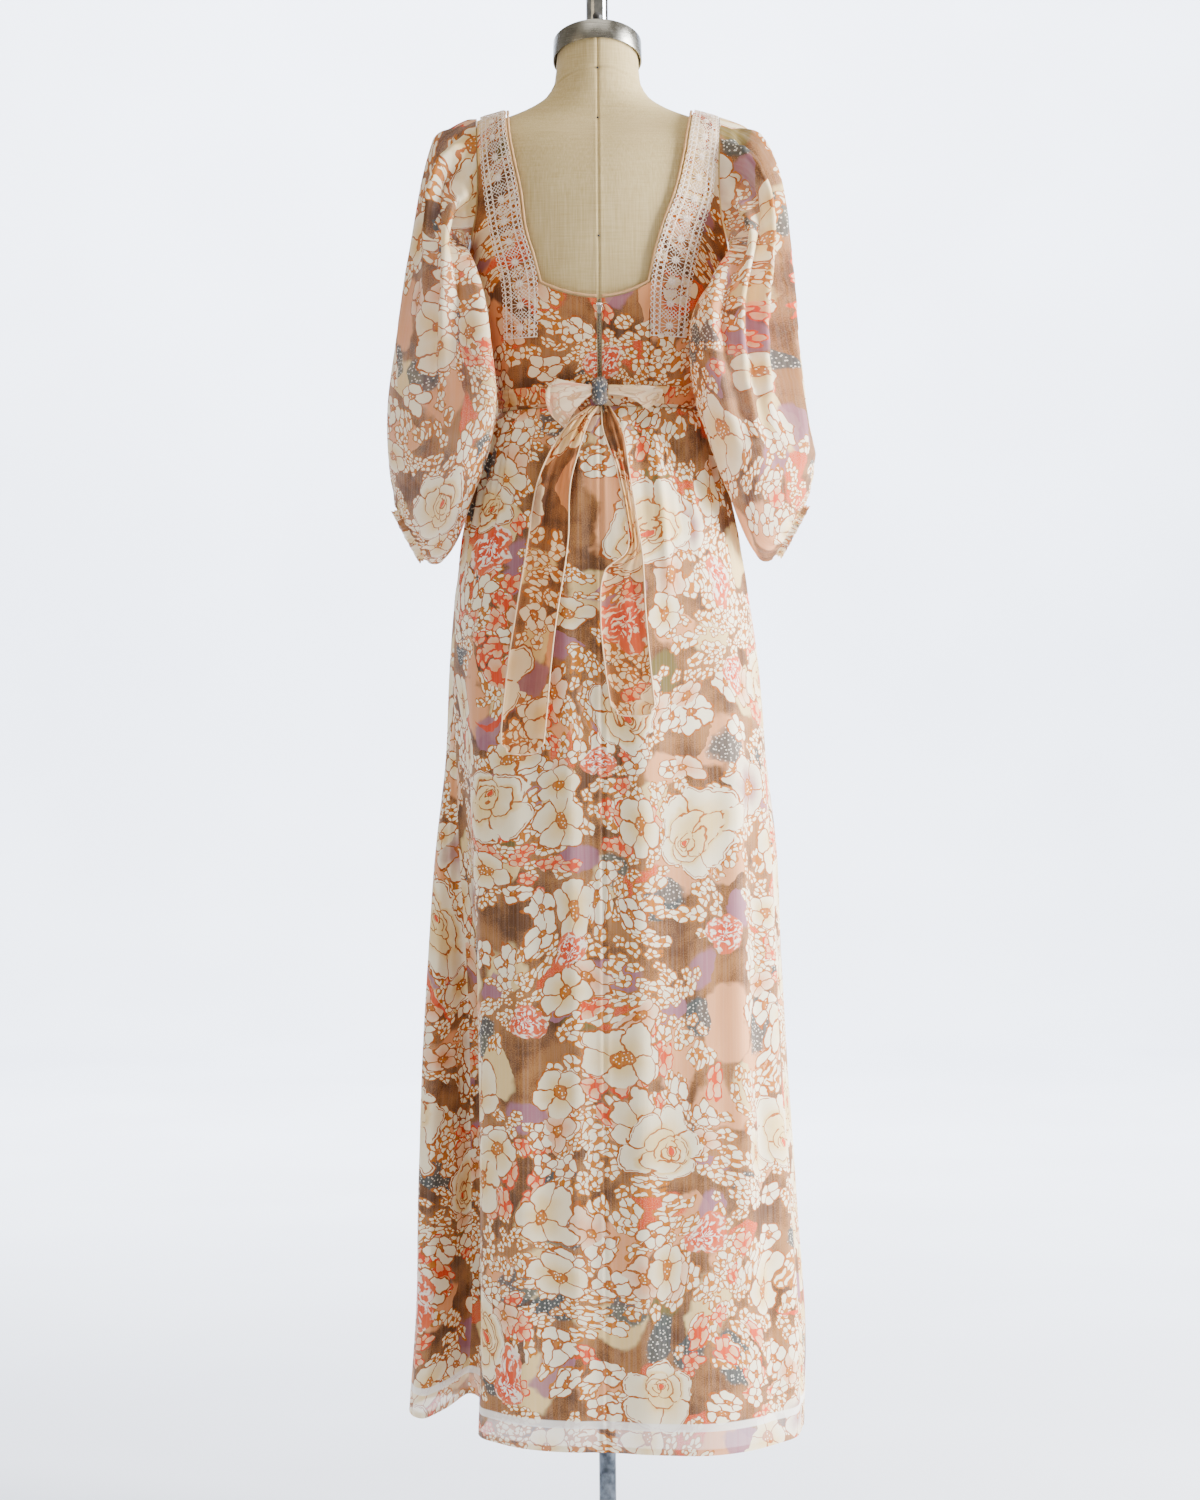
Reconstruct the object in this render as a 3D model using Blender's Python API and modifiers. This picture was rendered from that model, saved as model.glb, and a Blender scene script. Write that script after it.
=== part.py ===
"""A maxi dress with bishop sleeves on a limbless linen dress form, which stands on a pole.

Metres, +Z up, the floor at z = 0 and the pole on the Z axis. The back of the dress and of the
form faces -Y. The wearer's left is -X and their right is +X, so a back view shows them so.
"""

import math
from collections import namedtuple

import bmesh
import bpy
from mathutils import Matrix, Vector

# Stand
BASE_RADIUS = 0.170
BASE_RIM = 0.009
BASE_CROWN = 0.014
HUB_RADIUS = 0.026
HUB_HEIGHT = 0.046
POLE_RADIUS = 0.0093
POLE_TOP = 1.330
TUBE_RADIUS = 0.0120
TUBE_BORE = 0.0100
TUBE_BOTTOM = 0.9440
TUBE_TOP = 1.7350
KNOB_RADIUS = 0.0145
COLLAR_RADIUS = 0.0190
COLLAR_HEIGHT = 0.024
FLANGE_RADIUS = 0.046
FLANGE_THICK = 0.004
CAP_RADIUS = 0.0443
CAP_HEIGHT = 0.0150
CAP_BORE = 0.0198
NECK_TOP = 1.6500
NECK_TILT = math.radians(20)
FORM_BOTTOM = 0.9550
FORM_BORE = TUBE_RADIUS + 0.0005

# Dress
GAP = 0.0003
CLOTH = 0.0012
LACE_THICK = 0.0010
TAPE_THICK = 0.0008
ELASTIC_THICK = 0.0016
SEAM_Z = 1.2620
CLOTH_OUT = 0.0046
LACE_OUT = CLOTH_OUT + 0.0021
SASH_OUT = CLOTH_OUT + 0.0024
SASH_BOTTOM = 1.2650
SASH_TOP = 1.2835
SASH_START = 0.4
SASH_COLUMNS = 9
LINING_IN = 0.0030
LINING_TOP = 1.2560
LINING_HEM = 0.1970
ZIP_HALF = 0.0026
UNDERARM_Z = 1.4360
SHOULDER_LEVEL = 1.5800
LACE_BOTTOM = 1.3350
LACE_ROWS = 12
LACE_COLUMNS = 3
BINDING_RADIUS = 0.0014
BINDING_STEPS = 12
ROUNDNESS = 2.2

Ring = namedtuple("Ring", "z half_width back front")
FORM_RINGS = [
    Ring(0.9550, 0.1340, 0.0940, 0.0860),
    Ring(1.0100, 0.1430, 0.1080, 0.0940),
    Ring(1.0900, 0.1300, 0.1000, 0.0920),
    Ring(1.1500, 0.1130, 0.0850, 0.0880),
    Ring(1.2100, 0.1030, 0.0770, 0.0840),
    Ring(1.2620, 0.1060, 0.0790, 0.0890),
    Ring(1.3100, 0.1140, 0.0840, 0.1040),
    Ring(1.3600, 0.1250, 0.0880, 0.1200),
    Ring(1.4000, 0.1310, 0.0900, 0.1220),
    Ring(1.4400, 0.1360, 0.0910, 0.1110),
    Ring(1.4900, 0.1460, 0.0900, 0.0920),
    Ring(1.5300, 0.1580, 0.0820, 0.0750),
    Ring(1.5520, 0.1620, 0.0720, 0.0630),
    Ring(1.5630, 0.1540, 0.0620, 0.0540),
    Ring(1.5720, 0.1290, 0.0550, 0.0490),
    Ring(1.5800, 0.1010, 0.0510, 0.0460),
    Ring(1.5900, 0.0760, 0.0485, 0.0450),
    Ring(1.6010, 0.0580, 0.0470, 0.0445),
    Ring(1.6150, 0.0480, 0.0455, 0.0440),
    Ring(1.6320, 0.0450, 0.0445, 0.0435),
]

# Edges of the back panels, by height: the neckline, and the two edges of the lace band
Edge = namedtuple("Edge", "z neckline lace_outer")
LEFT_EDGES = [
    Edge(1.3300, 0.0640, 0.1010),
    Edge(1.3915, 0.0640, 0.1035),
    Edge(1.4440, 0.0790, 0.1150),
    Edge(1.4810, 0.0840, 0.1205),
    Edge(1.5230, 0.0925, 0.1245),
    Edge(1.5470, 0.0965, 0.1255),
    Edge(1.5840, 0.0995, 0.1255),
]
RIGHT_EDGES = [
    Edge(1.3300, 0.0520, 0.0915),
    Edge(1.3915, 0.0545, 0.0985),
    Edge(1.4440, 0.0690, 0.1100),
    Edge(1.4810, 0.0830, 0.1205),
    Edge(1.5230, 0.0930, 0.1250),
    Edge(1.5470, 0.0970, 0.1280),
    Edge(1.5840, 0.1040, 0.1290),
]
ArmEdge = namedtuple("ArmEdge", "z x")
ARMHOLE = [
    ArmEdge(1.4360, 0.1395),
    ArmEdge(1.4500, 0.1350),
    ArmEdge(1.4700, 0.1300),
    ArmEdge(1.5000, 0.1275),
    ArmEdge(1.5400, 0.1280),
    ArmEdge(1.5840, 0.1290),
]
BACK_CORNER_Z = 1.3915
BACK_CENTRE_Z = 1.3740
FRONT_CORNER_Z = 1.4300
FRONT_CENTRE_Z = 1.4240
FrontEdge = namedtuple("FrontEdge", "z neckline")
FRONT_EDGES = [
    FrontEdge(1.3300, 0.0780),
    FrontEdge(1.4300, 0.0780),
    FrontEdge(1.5800, 0.1000),
]

# The skirt's half sizes by height. fold is how far the hem's folds have opened there.
SkirtRing = namedtuple("SkirtRing", "z left right back front fold")
SKIRT_RINGS = [
    SkirtRing(1.2612, 0.1112, 0.1112, 0.0842, 0.0942, 0.00),
    SkirtRing(1.2450, 0.1210, 0.1210, 0.0950, 0.1020, 0.00),
    SkirtRing(1.1800, 0.1380, 0.1370, 0.1090, 0.1150, 0.02),
    SkirtRing(1.0870, 0.1580, 0.1550, 0.1180, 0.1280, 0.07),
    SkirtRing(1.0000, 0.1670, 0.1670, 0.1220, 0.1370, 0.15),
    SkirtRing(0.9000, 0.1755, 0.1750, 0.1250, 0.1450, 0.32),
    SkirtRing(0.8000, 0.1865, 0.1820, 0.1270, 0.1520, 0.52),
    SkirtRing(0.6900, 0.1935, 0.1870, 0.1280, 0.1580, 0.72),
    SkirtRing(0.5600, 0.2010, 0.1935, 0.1300, 0.1660, 0.88),
    SkirtRing(0.4200, 0.2080, 0.2025, 0.1310, 0.1730, 0.97),
    SkirtRing(0.2900, 0.2100, 0.2110, 0.1320, 0.1770, 1.00),
    SkirtRing(0.1720, 0.2180, 0.2130, 0.1320, 0.1780, 1.00),
]

# The hem seen from above. turn is the angle from the back's middle, round by the wearer's
# left, at which each fold starts in the waist seam, and lift raises the hem there.
HemPoint = namedtuple("HemPoint", "place turn x y lift")
HEM_PLAN = [
    HemPoint("back middle", 0, 0.000, -0.132, 0.000),
    HemPoint("back left", 24, -0.062, -0.127, 0.001),
    HemPoint("before the fold", 42, -0.112, -0.112, 0.006),
    HemPoint("fold edge", 55, -0.137, -0.078, 0.008),
    HemPoint("fold return", 65, -0.129, -0.020, 0.012),
    HemPoint("valley wall", 74, -0.133, 0.045, 0.015),
    HemPoint("valley floor", 83, -0.154, 0.084, 0.016),
    HemPoint("lobe wall", 91, -0.177, 0.056, 0.006),
    HemPoint("lobe edge", 100, -0.202, 0.032, 0.000),
    HemPoint("left side", 111, -0.218, 0.082, 0.000),
    HemPoint("front left", 128, -0.187, 0.138, 0.002),
    HemPoint("front left trough", 150, -0.106, 0.158, 0.003),
    HemPoint("front middle", 178, -0.010, 0.178, 0.000),
    HemPoint("front right trough", 207, 0.080, 0.160, 0.002),
    HemPoint("front right", 232, 0.158, 0.138, 0.000),
    HemPoint("right front edge", 254, 0.201, 0.082, 0.000),
    HemPoint("right side", 274, 0.213, -0.006, 0.000),
    HemPoint("right back edge", 297, 0.184, -0.086, -0.001),
    HemPoint("back right", 325, 0.108, -0.134, -0.003),
]
HEM_STEPS = 3

# Each sleeve's rings in its own half: the outer and the inner point, and the half depth.
# The inner point hangs back, behind the body's side.
SleeveRing = namedtuple("SleeveRing", "outer_x outer_z inner_x inner_z depth outer_y inner_y")
LEFT_SLEEVE = [
    SleeveRing(0.1520, 1.5710, 0.1450, 1.4330, 0.0660, 0.000, 0.000),
    SleeveRing(0.1700, 1.5580, 0.1500, 1.4290, 0.0700, 0.000, 0.000),
    SleeveRing(0.1835, 1.5160, 0.1480, 1.4240, 0.0710, 0.000, -0.014),
    SleeveRing(0.1930, 1.4500, 0.1360, 1.4100, 0.0690, -0.002, -0.040),
    SleeveRing(0.2060, 1.3950, 0.1240, 1.3780, 0.0660, -0.004, -0.060),
    SleeveRing(0.2190, 1.3400, 0.1185, 1.3320, 0.0640, -0.006, -0.068),
    SleeveRing(0.2280, 1.2870, 0.1175, 1.2820, 0.0640, -0.006, -0.070),
    SleeveRing(0.2300, 1.2460, 0.1190, 1.2360, 0.0640, -0.006, -0.068),
    SleeveRing(0.2280, 1.2150, 0.1240, 1.1880, 0.0640, -0.006, -0.060),
    SleeveRing(0.2255, 1.1900, 0.1340, 1.1420, 0.0640, -0.005, -0.040),
    SleeveRing(0.2235, 1.1740, 0.1480, 1.1050, 0.0560, -0.004, -0.016),
    SleeveRing(0.2210, 1.1660, 0.1720, 1.0885, 0.0470, -0.004, -0.008),
    SleeveRing(0.2187, 1.1624, 0.1885, 1.1060, 0.0360, -0.003, -0.003),
]
RIGHT_SLEEVE = [
    SleeveRing(0.1570, 1.5700, 0.1450, 1.4330, 0.0660, 0.000, 0.000),
    SleeveRing(0.1760, 1.5480, 0.1500, 1.4290, 0.0700, 0.000, 0.000),
    SleeveRing(0.1950, 1.4870, 0.1470, 1.4230, 0.0710, 0.000, -0.020),
    SleeveRing(0.2035, 1.4250, 0.1270, 1.4060, 0.0690, -0.002, -0.054),
    SleeveRing(0.2100, 1.3750, 0.1040, 1.3740, 0.0660, -0.004, -0.074),
    SleeveRing(0.2155, 1.3350, 0.0940, 1.3350, 0.0640, -0.006, -0.080),
    SleeveRing(0.2215, 1.2880, 0.1050, 1.2880, 0.0640, -0.006, -0.078),
    SleeveRing(0.2260, 1.2400, 0.1180, 1.2400, 0.0640, -0.006, -0.072),
    SleeveRing(0.2328, 1.2130, 0.1270, 1.1880, 0.0640, -0.006, -0.062),
    SleeveRing(0.2310, 1.1970, 0.1360, 1.1440, 0.0640, -0.005, -0.042),
    SleeveRing(0.2260, 1.1800, 0.1480, 1.1060, 0.0560, -0.004, -0.018),
    SleeveRing(0.2218, 1.1700, 0.1730, 1.0895, 0.0470, -0.004, -0.008),
    SleeveRing(0.2186, 1.1646, 0.1875, 1.1085, 0.0360, -0.003, -0.003),
]
SLEEVE_SIDES = 20
ARMHOLE_OUT = CLOTH_OUT + 0.0018
CAP_CLEAR = 0.0085
BODY_CLEAR = 0.0120
CUFF_DEPTH = 0.009
CUFF_START = 0.0010
CUFF_WAY = Vector((0.90, 0.0, -0.43))

# The bow's hanging ends: middle and width by height
Tail = namedtuple("Tail", "z x width")
LEFT_TAIL = [
    Tail(1.2606, -0.0056, 0.0085),
    Tail(1.2440, -0.0210, 0.0190),
    Tail(1.2150, -0.0360, 0.0290),
    Tail(1.1760, -0.0490, 0.0350),
    Tail(1.1150, -0.0555, 0.0420),
    Tail(1.0330, -0.0690, 0.0435),
    Tail(0.9900, -0.0750, 0.0450),
    Tail(0.9120, -0.0830, 0.0455),
    Tail(0.8960, -0.0835, 0.0400),
]
RIGHT_TAIL = [
    Tail(1.2606, 0.0056, 0.0085),
    Tail(1.2330, 0.0132, 0.0200),
    Tail(1.1950, 0.0225, 0.0130),
    Tail(1.1400, 0.0320, 0.0110),
    Tail(1.1060, 0.0345, 0.0160),
    Tail(1.0860, 0.0240, 0.0400),
    Tail(1.0400, 0.0225, 0.0470),
    Tail(0.9850, 0.0270, 0.0470),
    Tail(0.9350, 0.0330, 0.0450),
]
TAIL_OUT = 0.0050
TAIL_STEP = 0.006
KNOT = Vector((0.0095, 0.0085, 0.0150))
KNOT_Z = 1.2760
Loop = namedtuple("Loop", "side name length swell droop")
LOOPS = [
    Loop(-1, "left", 0.0480, 0.0130, 0.006),
    Loop(1, "right", 0.0560, 0.0045, 0.002),
]
LOOP_STEPS = 12

# Zip
SLIDER = Vector((0.0064, 0.0024, 0.0090))
SLIDER_Z = 1.3640
TAPE_IN = 0.0021
TAPE_NEAR = 0.0022
TAPE_FAR = 0.0140
CHAIN_HALF = 0.0014
CHAIN_THICK = 0.0018
PULL_LENGTH = 0.0105
PULL_WIDTH = 0.0046
PULL_THICK = 0.0010
BARREL_RADIUS = 0.0008
EAR_THICK = 0.0009
EAR_REACH = 0.0022
PULL_GAP = 0.0003


# ------------------------------------------------------------------ curves and surfaces
def track(rows, key, column, at):
    """A column's value at a key, on the smooth curve through a table's rows."""
    keys = [getattr(row, key) for row in rows]
    values = [getattr(row, column) for row in rows]
    if keys[0] > keys[-1]:
        keys.reverse()
        values.reverse()
    at = min(max(at, keys[0]), keys[-1])
    i = next(n for n in range(len(keys) - 1) if at <= keys[n + 1])
    slopes = []
    for n in (i, i + 1):
        low = max(n - 1, 0)
        high = min(n + 1, len(keys) - 1)
        slopes.append((values[high] - values[low]) / (keys[high] - keys[low]))
    span = keys[i + 1] - keys[i]
    t = (at - keys[i]) / span
    start = (1 + 2 * t) * (1 - t) ** 2 * values[i] + t * (1 - t) ** 2 * span * slopes[0]
    end = t * t * (3 - 2 * t) * values[i + 1] - t * t * (1 - t) * span * slopes[1]
    return start + end


def raised(z, out):
    """The height on the bare form under a layer at z: layers rise over the shoulders."""
    return z - out * min(max((z - 1.500) / 0.050, 0), 1)


def form_width(z, out=0.0):
    return track(FORM_RINGS, "z", "half_width", raised(z, out)) + out


def form_depth(z, out, face):
    column = "back" if face < 0 else "front"
    return track(FORM_RINGS, "z", column, raised(z, out)) + out


def form_y(x, z, out, face):
    """Y of the layer that lies out from the form, on its back (-1) or front (+1) face."""
    share = min(abs(x) / form_width(z, out), 1.0)
    return face * form_depth(z, out, face) * (1 - share**ROUNDNESS) ** (1 / ROUNDNESS)


def shoulder_z(x, out):
    """Height of the shoulder's top line at x, by halving."""
    low, high = 1.553, 1.630
    for _ in range(40):
        middle = (low + high) / 2
        if form_width(middle, out) > abs(x):
            low = middle
        else:
            high = middle
    return low


def rounded(angle, half_x, half_y):
    """A point of a rounded oval, at an angle from +X."""
    c, s = math.cos(angle), math.sin(angle)
    x = math.copysign(abs(c) ** (2 / ROUNDNESS), c) * half_x
    return x, math.copysign(abs(s) ** (2 / ROUNDNESS), s) * half_y


def hem_at(step):
    """turn, x, y and lift of the hem's closed curve, at a step of HEM_STEPS to a point."""
    count = len(HEM_PLAN)
    i, part = divmod(step, HEM_STEPS)
    t = part / HEM_STEPS
    found = []
    for column in ("turn", "x", "y", "lift"):
        p = [getattr(HEM_PLAN[(i + n) % count], column) for n in (-1, 0, 1, 2)]
        if column == "turn":
            p = [v + 360 * ((i + n) // count) for v, n in zip(p, (-1, 0, 1, 2))]
        middle = (p[2] - p[0]) * t + (2 * p[0] - 5 * p[1] + 4 * p[2] - p[3]) * t * t
        found.append(p[1] + (middle + (3 * p[1] - p[0] - 3 * p[2] + p[3]) * t**3) / 2)
    return found


def skirt_section(z, inward=0.0):
    """The skirt's closed section at a height, clockwise from the back's middle from above."""
    size = {name: track(SKIRT_RINGS, "z", name, z) for name in SkirtRing._fields[1:]}
    hem = SKIRT_RINGS[-1]
    points = []
    for step in range(len(HEM_PLAN) * HEM_STEPS):
        turn, x, y, lift = hem_at(step)
        half_x = size["left"] if x < 0 else size["right"]
        half_y = size["back"] if y < 0 else size["front"]
        angle = math.radians(-90 - turn)
        deep = size["back"] if math.sin(angle) < 0 else size["front"]
        wide = size["left"] if math.cos(angle) < 0 else size["right"]
        oval_x, oval_y = rounded(angle, wide, deep)
        hem_x = x * half_x / (hem.left if x < 0 else hem.right)
        hem_y = y * half_y / (hem.back if y < 0 else hem.front)
        fold = size["fold"]
        rise = lift * max(0.0, 1 - (z - hem.z) / 0.300)
        points.append(
            Vector((oval_x + fold * (hem_x - oval_x), oval_y + fold * (hem_y - oval_y), z + rise))
        )
    if not inward:
        return points
    moved = []
    for i, point in enumerate(points):
        along = points[(i + 1) % len(points)] - points[i - 1]
        normal = Vector((along.y, -along.x, 0)).normalized()
        moved.append(point + normal * inward)
    return moved


def skirt_back_y(x, z):
    """Y of the skirt's back at x, from the section's straight pieces there."""
    points = skirt_section(z)
    best = 0.0
    for i, point in enumerate(points):
        after = points[(i + 1) % len(points)]
        low, high = sorted((point.x, after.x))
        if low <= x <= high and high > low:
            t = (x - point.x) / (after.x - point.x)
            best = min(best, point.y + (after.y - point.y) * t)
    return best


# ------------------------------------------------------------------ objects and materials
def clear_scene():
    for obj in list(bpy.data.objects):
        bpy.data.objects.remove(obj, do_unlink=True)


def collection(name, hidden=False):
    made = bpy.data.collections.new(name)
    bpy.context.scene.collection.children.link(made)
    made.hide_render = hidden
    return made


def material(name, colour, roughness, metallic=0.0):
    made = bpy.data.materials.new(name)
    made.use_nodes = True
    shader = made.node_tree.nodes["Principled BSDF"]
    shader.inputs["Base Color"].default_value = (*colour, 1)
    shader.inputs["Roughness"].default_value = roughness
    shader.inputs["Metallic"].default_value = metallic
    return made


def new_object(name, mesh, finish, smooth=True):
    obj = bpy.data.objects.new(name, mesh)
    PARTS.objects.link(obj)
    mesh.materials.append(finish)
    if smooth:
        mesh.shade_smooth()
        mesh.set_sharp_from_angle(angle=math.radians(40))
    return obj


def sheet(name, rows, finish, thick=CLOTH, closed=False, skip=()):
    """A cloth wall: a grid of points with Solidify. skip holds the squares left out."""
    mesh = bpy.data.meshes.new(name)
    width = len(rows[0])
    points = [p for row in rows for p in row]
    faces = []
    for r in range(len(rows) - 1):
        for c in range(width if closed else width - 1):
            if (r, c) in skip:
                continue
            a, b = r * width + c, r * width + (c + 1) % width
            faces.append((a, b, b + width, a + width))
    mesh.from_pydata(points, [], faces)
    bm = bmesh.new()
    bm.from_mesh(mesh)
    loose = [v for v in bm.verts if not v.link_faces]
    bmesh.ops.delete(bm, geom=loose, context="VERTS")
    bmesh.ops.remove_doubles(bm, verts=bm.verts, dist=1e-6)
    bmesh.ops.triangulate(bm, faces=bm.faces)
    bm.to_mesh(mesh)
    bm.free()
    obj = new_object(name, mesh, finish)
    wall = obj.modifiers.new("Wall", "SOLIDIFY")
    wall.thickness = thick
    wall.offset = 0
    return obj


def turned(name, profile, finish, steps=32, matrix=None):
    """A turned piece: a closed outline of (radius, height) points, round the Z axis."""
    mesh = bpy.data.meshes.new(name)
    points = [(r, 0, z) for r, z in profile]
    on_axis = profile[0][0] == 0
    edges = [(i, i + 1) for i in range(len(points) - 1)]
    if not on_axis:
        edges.append((len(points) - 1, 0))
    mesh.from_pydata(points, edges, [])
    obj = new_object(name, mesh, finish, smooth=False)
    screw = obj.modifiers.new("Turn", "SCREW")
    screw.axis = "Z"
    screw.steps = steps
    screw.render_steps = steps
    screw.use_merge_vertices = True
    screw.merge_threshold = 0.00001
    screw.use_smooth_shade = True
    obj.matrix_world = matrix or Matrix.Identity(4)
    return obj


def box(name, size, centre, finish=None, to=None):
    mesh = bpy.data.meshes.new(name)
    bm = bmesh.new()
    bmesh.ops.create_cube(bm, size=1)
    bmesh.ops.scale(bm, vec=size, verts=bm.verts)
    bmesh.ops.translate(bm, vec=centre, verts=bm.verts)
    bm.to_mesh(mesh)
    bm.free()
    if to is None:
        return new_object(name, mesh, finish, smooth=False)
    obj = bpy.data.objects.new(name, mesh)
    to.objects.link(obj)
    return obj


def cylinder(name, radius, start, end, sides, to):
    """A plain cylinder between two points, as a cutter or a piece to join."""
    mesh = bpy.data.meshes.new(name)
    bm = bmesh.new()
    bmesh.ops.create_cone(
        bm, cap_ends=True, segments=sides, radius1=radius, radius2=radius, depth=(end - start).length
    )
    turn = (end - start).to_track_quat("Z", "Y").to_matrix().to_4x4()
    bmesh.ops.transform(bm, matrix=Matrix.Translation((start + end) / 2) @ turn, verts=bm.verts)
    bm.to_mesh(mesh)
    bm.free()
    obj = bpy.data.objects.new(name, mesh)
    to.objects.link(obj)
    return obj


def combine(obj, tool, operation):
    """A Boolean with a helper object, which is hidden."""
    step = obj.modifiers.new(operation.title(), "BOOLEAN")
    step.operation = operation
    step.object = tool
    step.solver = "EXACT"
    tool.hide_render = True
    tool.display_type = "WIRE"


# ------------------------------------------------------------------ stand and form
def make_stand():
    outline = [
        (0, BASE_CROWN),
        (HUB_RADIUS + 0.030, BASE_CROWN),
        (BASE_RADIUS - 0.030, BASE_RIM + 0.002),
        (BASE_RADIUS - 0.004, BASE_RIM),
        (BASE_RADIUS, BASE_RIM - 0.003),
        (BASE_RADIUS, 0.0),
        (0, 0.0),
    ]
    turned("base_plate", outline, STEEL_DARK, 48)
    foot = BASE_CROWN + GAP
    hub = [
        (POLE_RADIUS + GAP, foot),
        (POLE_RADIUS + GAP, foot + HUB_HEIGHT),
        (0.0135, foot + HUB_HEIGHT),
        (0.0155, foot + HUB_HEIGHT - 0.003),
        (0.0165, foot + 0.012),
        (HUB_RADIUS, foot + 0.005),
        (HUB_RADIUS, foot),
    ]
    turned("base_hub", hub, CHROME)
    pole = [
        (0, POLE_TOP),
        (POLE_RADIUS - 0.001, POLE_TOP),
        (POLE_RADIUS, POLE_TOP - 0.001),
        (POLE_RADIUS, foot),
        (0, foot),
    ]
    turned("pole", pole, CHROME)


def make_collar():
    top = TUBE_BOTTOM - GAP
    outline = [
        (POLE_RADIUS + GAP, top - COLLAR_HEIGHT),
        (POLE_RADIUS + GAP, top),
        (COLLAR_RADIUS - 0.002, top),
        (COLLAR_RADIUS, top - 0.002),
        (COLLAR_RADIUS, top - COLLAR_HEIGHT + 0.002),
        (COLLAR_RADIUS - 0.002, top - COLLAR_HEIGHT),
    ]
    turned("clamp_collar", outline, CHROME)
    start = COLLAR_RADIUS + GAP
    knob = [
        (0, start + 0.024),
        (0.007, start + 0.024),
        (0.010, start + 0.021),
        (0.010, start + 0.012),
        (0.004, start + 0.009),
        (0.004, start),
        (0, start),
    ]
    side = Matrix.Translation((0, 0, top - COLLAR_HEIGHT / 2)) @ Matrix.Rotation(math.pi / 2, 4, "X")
    turned("collar_knob", knob, STEEL_DARK, 20, side)


def make_form():
    """The linen form: rounded rings, with the neck cut on a slope and a bore for the tube."""
    sides = 32
    rings = []
    for row in FORM_RINGS:
        ring = []
        for n in range(sides):
            angle = 2 * math.pi * n / sides
            deep = row.back if math.sin(angle) < 0 else row.front
            x, y = rounded(angle, row.half_width, deep)
            ring.append((x, y, row.z))
        rings.append(ring)
    neck = []
    for n in range(sides):
        angle = 2 * math.pi * n / sides
        x, y = 0.0442 * math.cos(angle), 0.0442 * math.sin(angle)
        neck.append((x, y, NECK_TOP - y * math.tan(NECK_TILT)))
    rings.append(neck)
    mesh = bpy.data.meshes.new("torso")
    points = [p for ring in rings for p in ring]
    faces = [tuple(reversed(range(sides)))]
    for r in range(len(rings) - 1):
        for c in range(sides):
            a, b = r * sides + c, r * sides + (c + 1) % sides
            faces.append((a, b, b + sides, a + sides))
    faces.append(tuple(range(len(points) - sides, len(points))))
    mesh.from_pydata(points, [], faces)
    form = new_object("torso", mesh, LINEN)
    bore = cylinder("torso_bore", FORM_BORE, Vector((0, 0, 0.90)), Vector((0, 0, 1.72)), 24, TOOLS)
    combine(form, bore, "DIFFERENCE")

    tilt = Matrix.Rotation(-NECK_TILT, 4, "X")
    lift = Matrix.Translation((0, 0, NECK_TOP + GAP / math.cos(NECK_TILT)))
    cap = [
        (CAP_BORE, 0),
        (CAP_BORE, CAP_HEIGHT + 0.002),
        (CAP_RADIUS - 0.004, CAP_HEIGHT + 0.001),
        (CAP_RADIUS - 0.001, CAP_HEIGHT),
        (CAP_RADIUS, CAP_HEIGHT - 0.001),
        (CAP_RADIUS, 0),
    ]
    turned("neck_cap", cap, STEEL, 40, lift @ tilt)

    tube = [
        (TUBE_BORE, TUBE_BOTTOM),
        (TUBE_BORE, TUBE_TOP),
        (TUBE_RADIUS, TUBE_TOP),
        (TUBE_RADIUS, TUBE_BOTTOM),
    ]
    turned("neck_tube", tube, CHROME, 28)
    above = TUBE_TOP + GAP
    knob = [(0, above + 0.0100 + KNOB_RADIUS)]
    for n in range(1, 7):
        angle = math.radians(90 - n * 22)
        knob.append((KNOB_RADIUS * math.cos(angle), above + 0.0100 + KNOB_RADIUS * math.sin(angle)))
    knob += [(0.0105, above), (0, above)]
    turned("tube_knob", knob, CHROME, 24)
    screw = [(0, 0.0062), (0.0030, 0.0058), (0.0054, 0.0040), (0.0062, 0.0012), (0.0062, 0), (0, 0)]
    facing = Matrix.Rotation(math.pi / 2, 4, "X")
    seat = Matrix.Translation((0, -TUBE_RADIUS - GAP, 1.6920))
    turned("lock_screw", screw, STEEL_DARK, 16, seat @ facing)
    below = FORM_BOTTOM - GAP
    flange = [
        (FORM_BORE, below - FLANGE_THICK),
        (FORM_BORE, below),
        (FLANGE_RADIUS, below),
        (FLANGE_RADIUS, below - FLANGE_THICK),
    ]
    turned("form_flange", flange, STEEL, 32)


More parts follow.
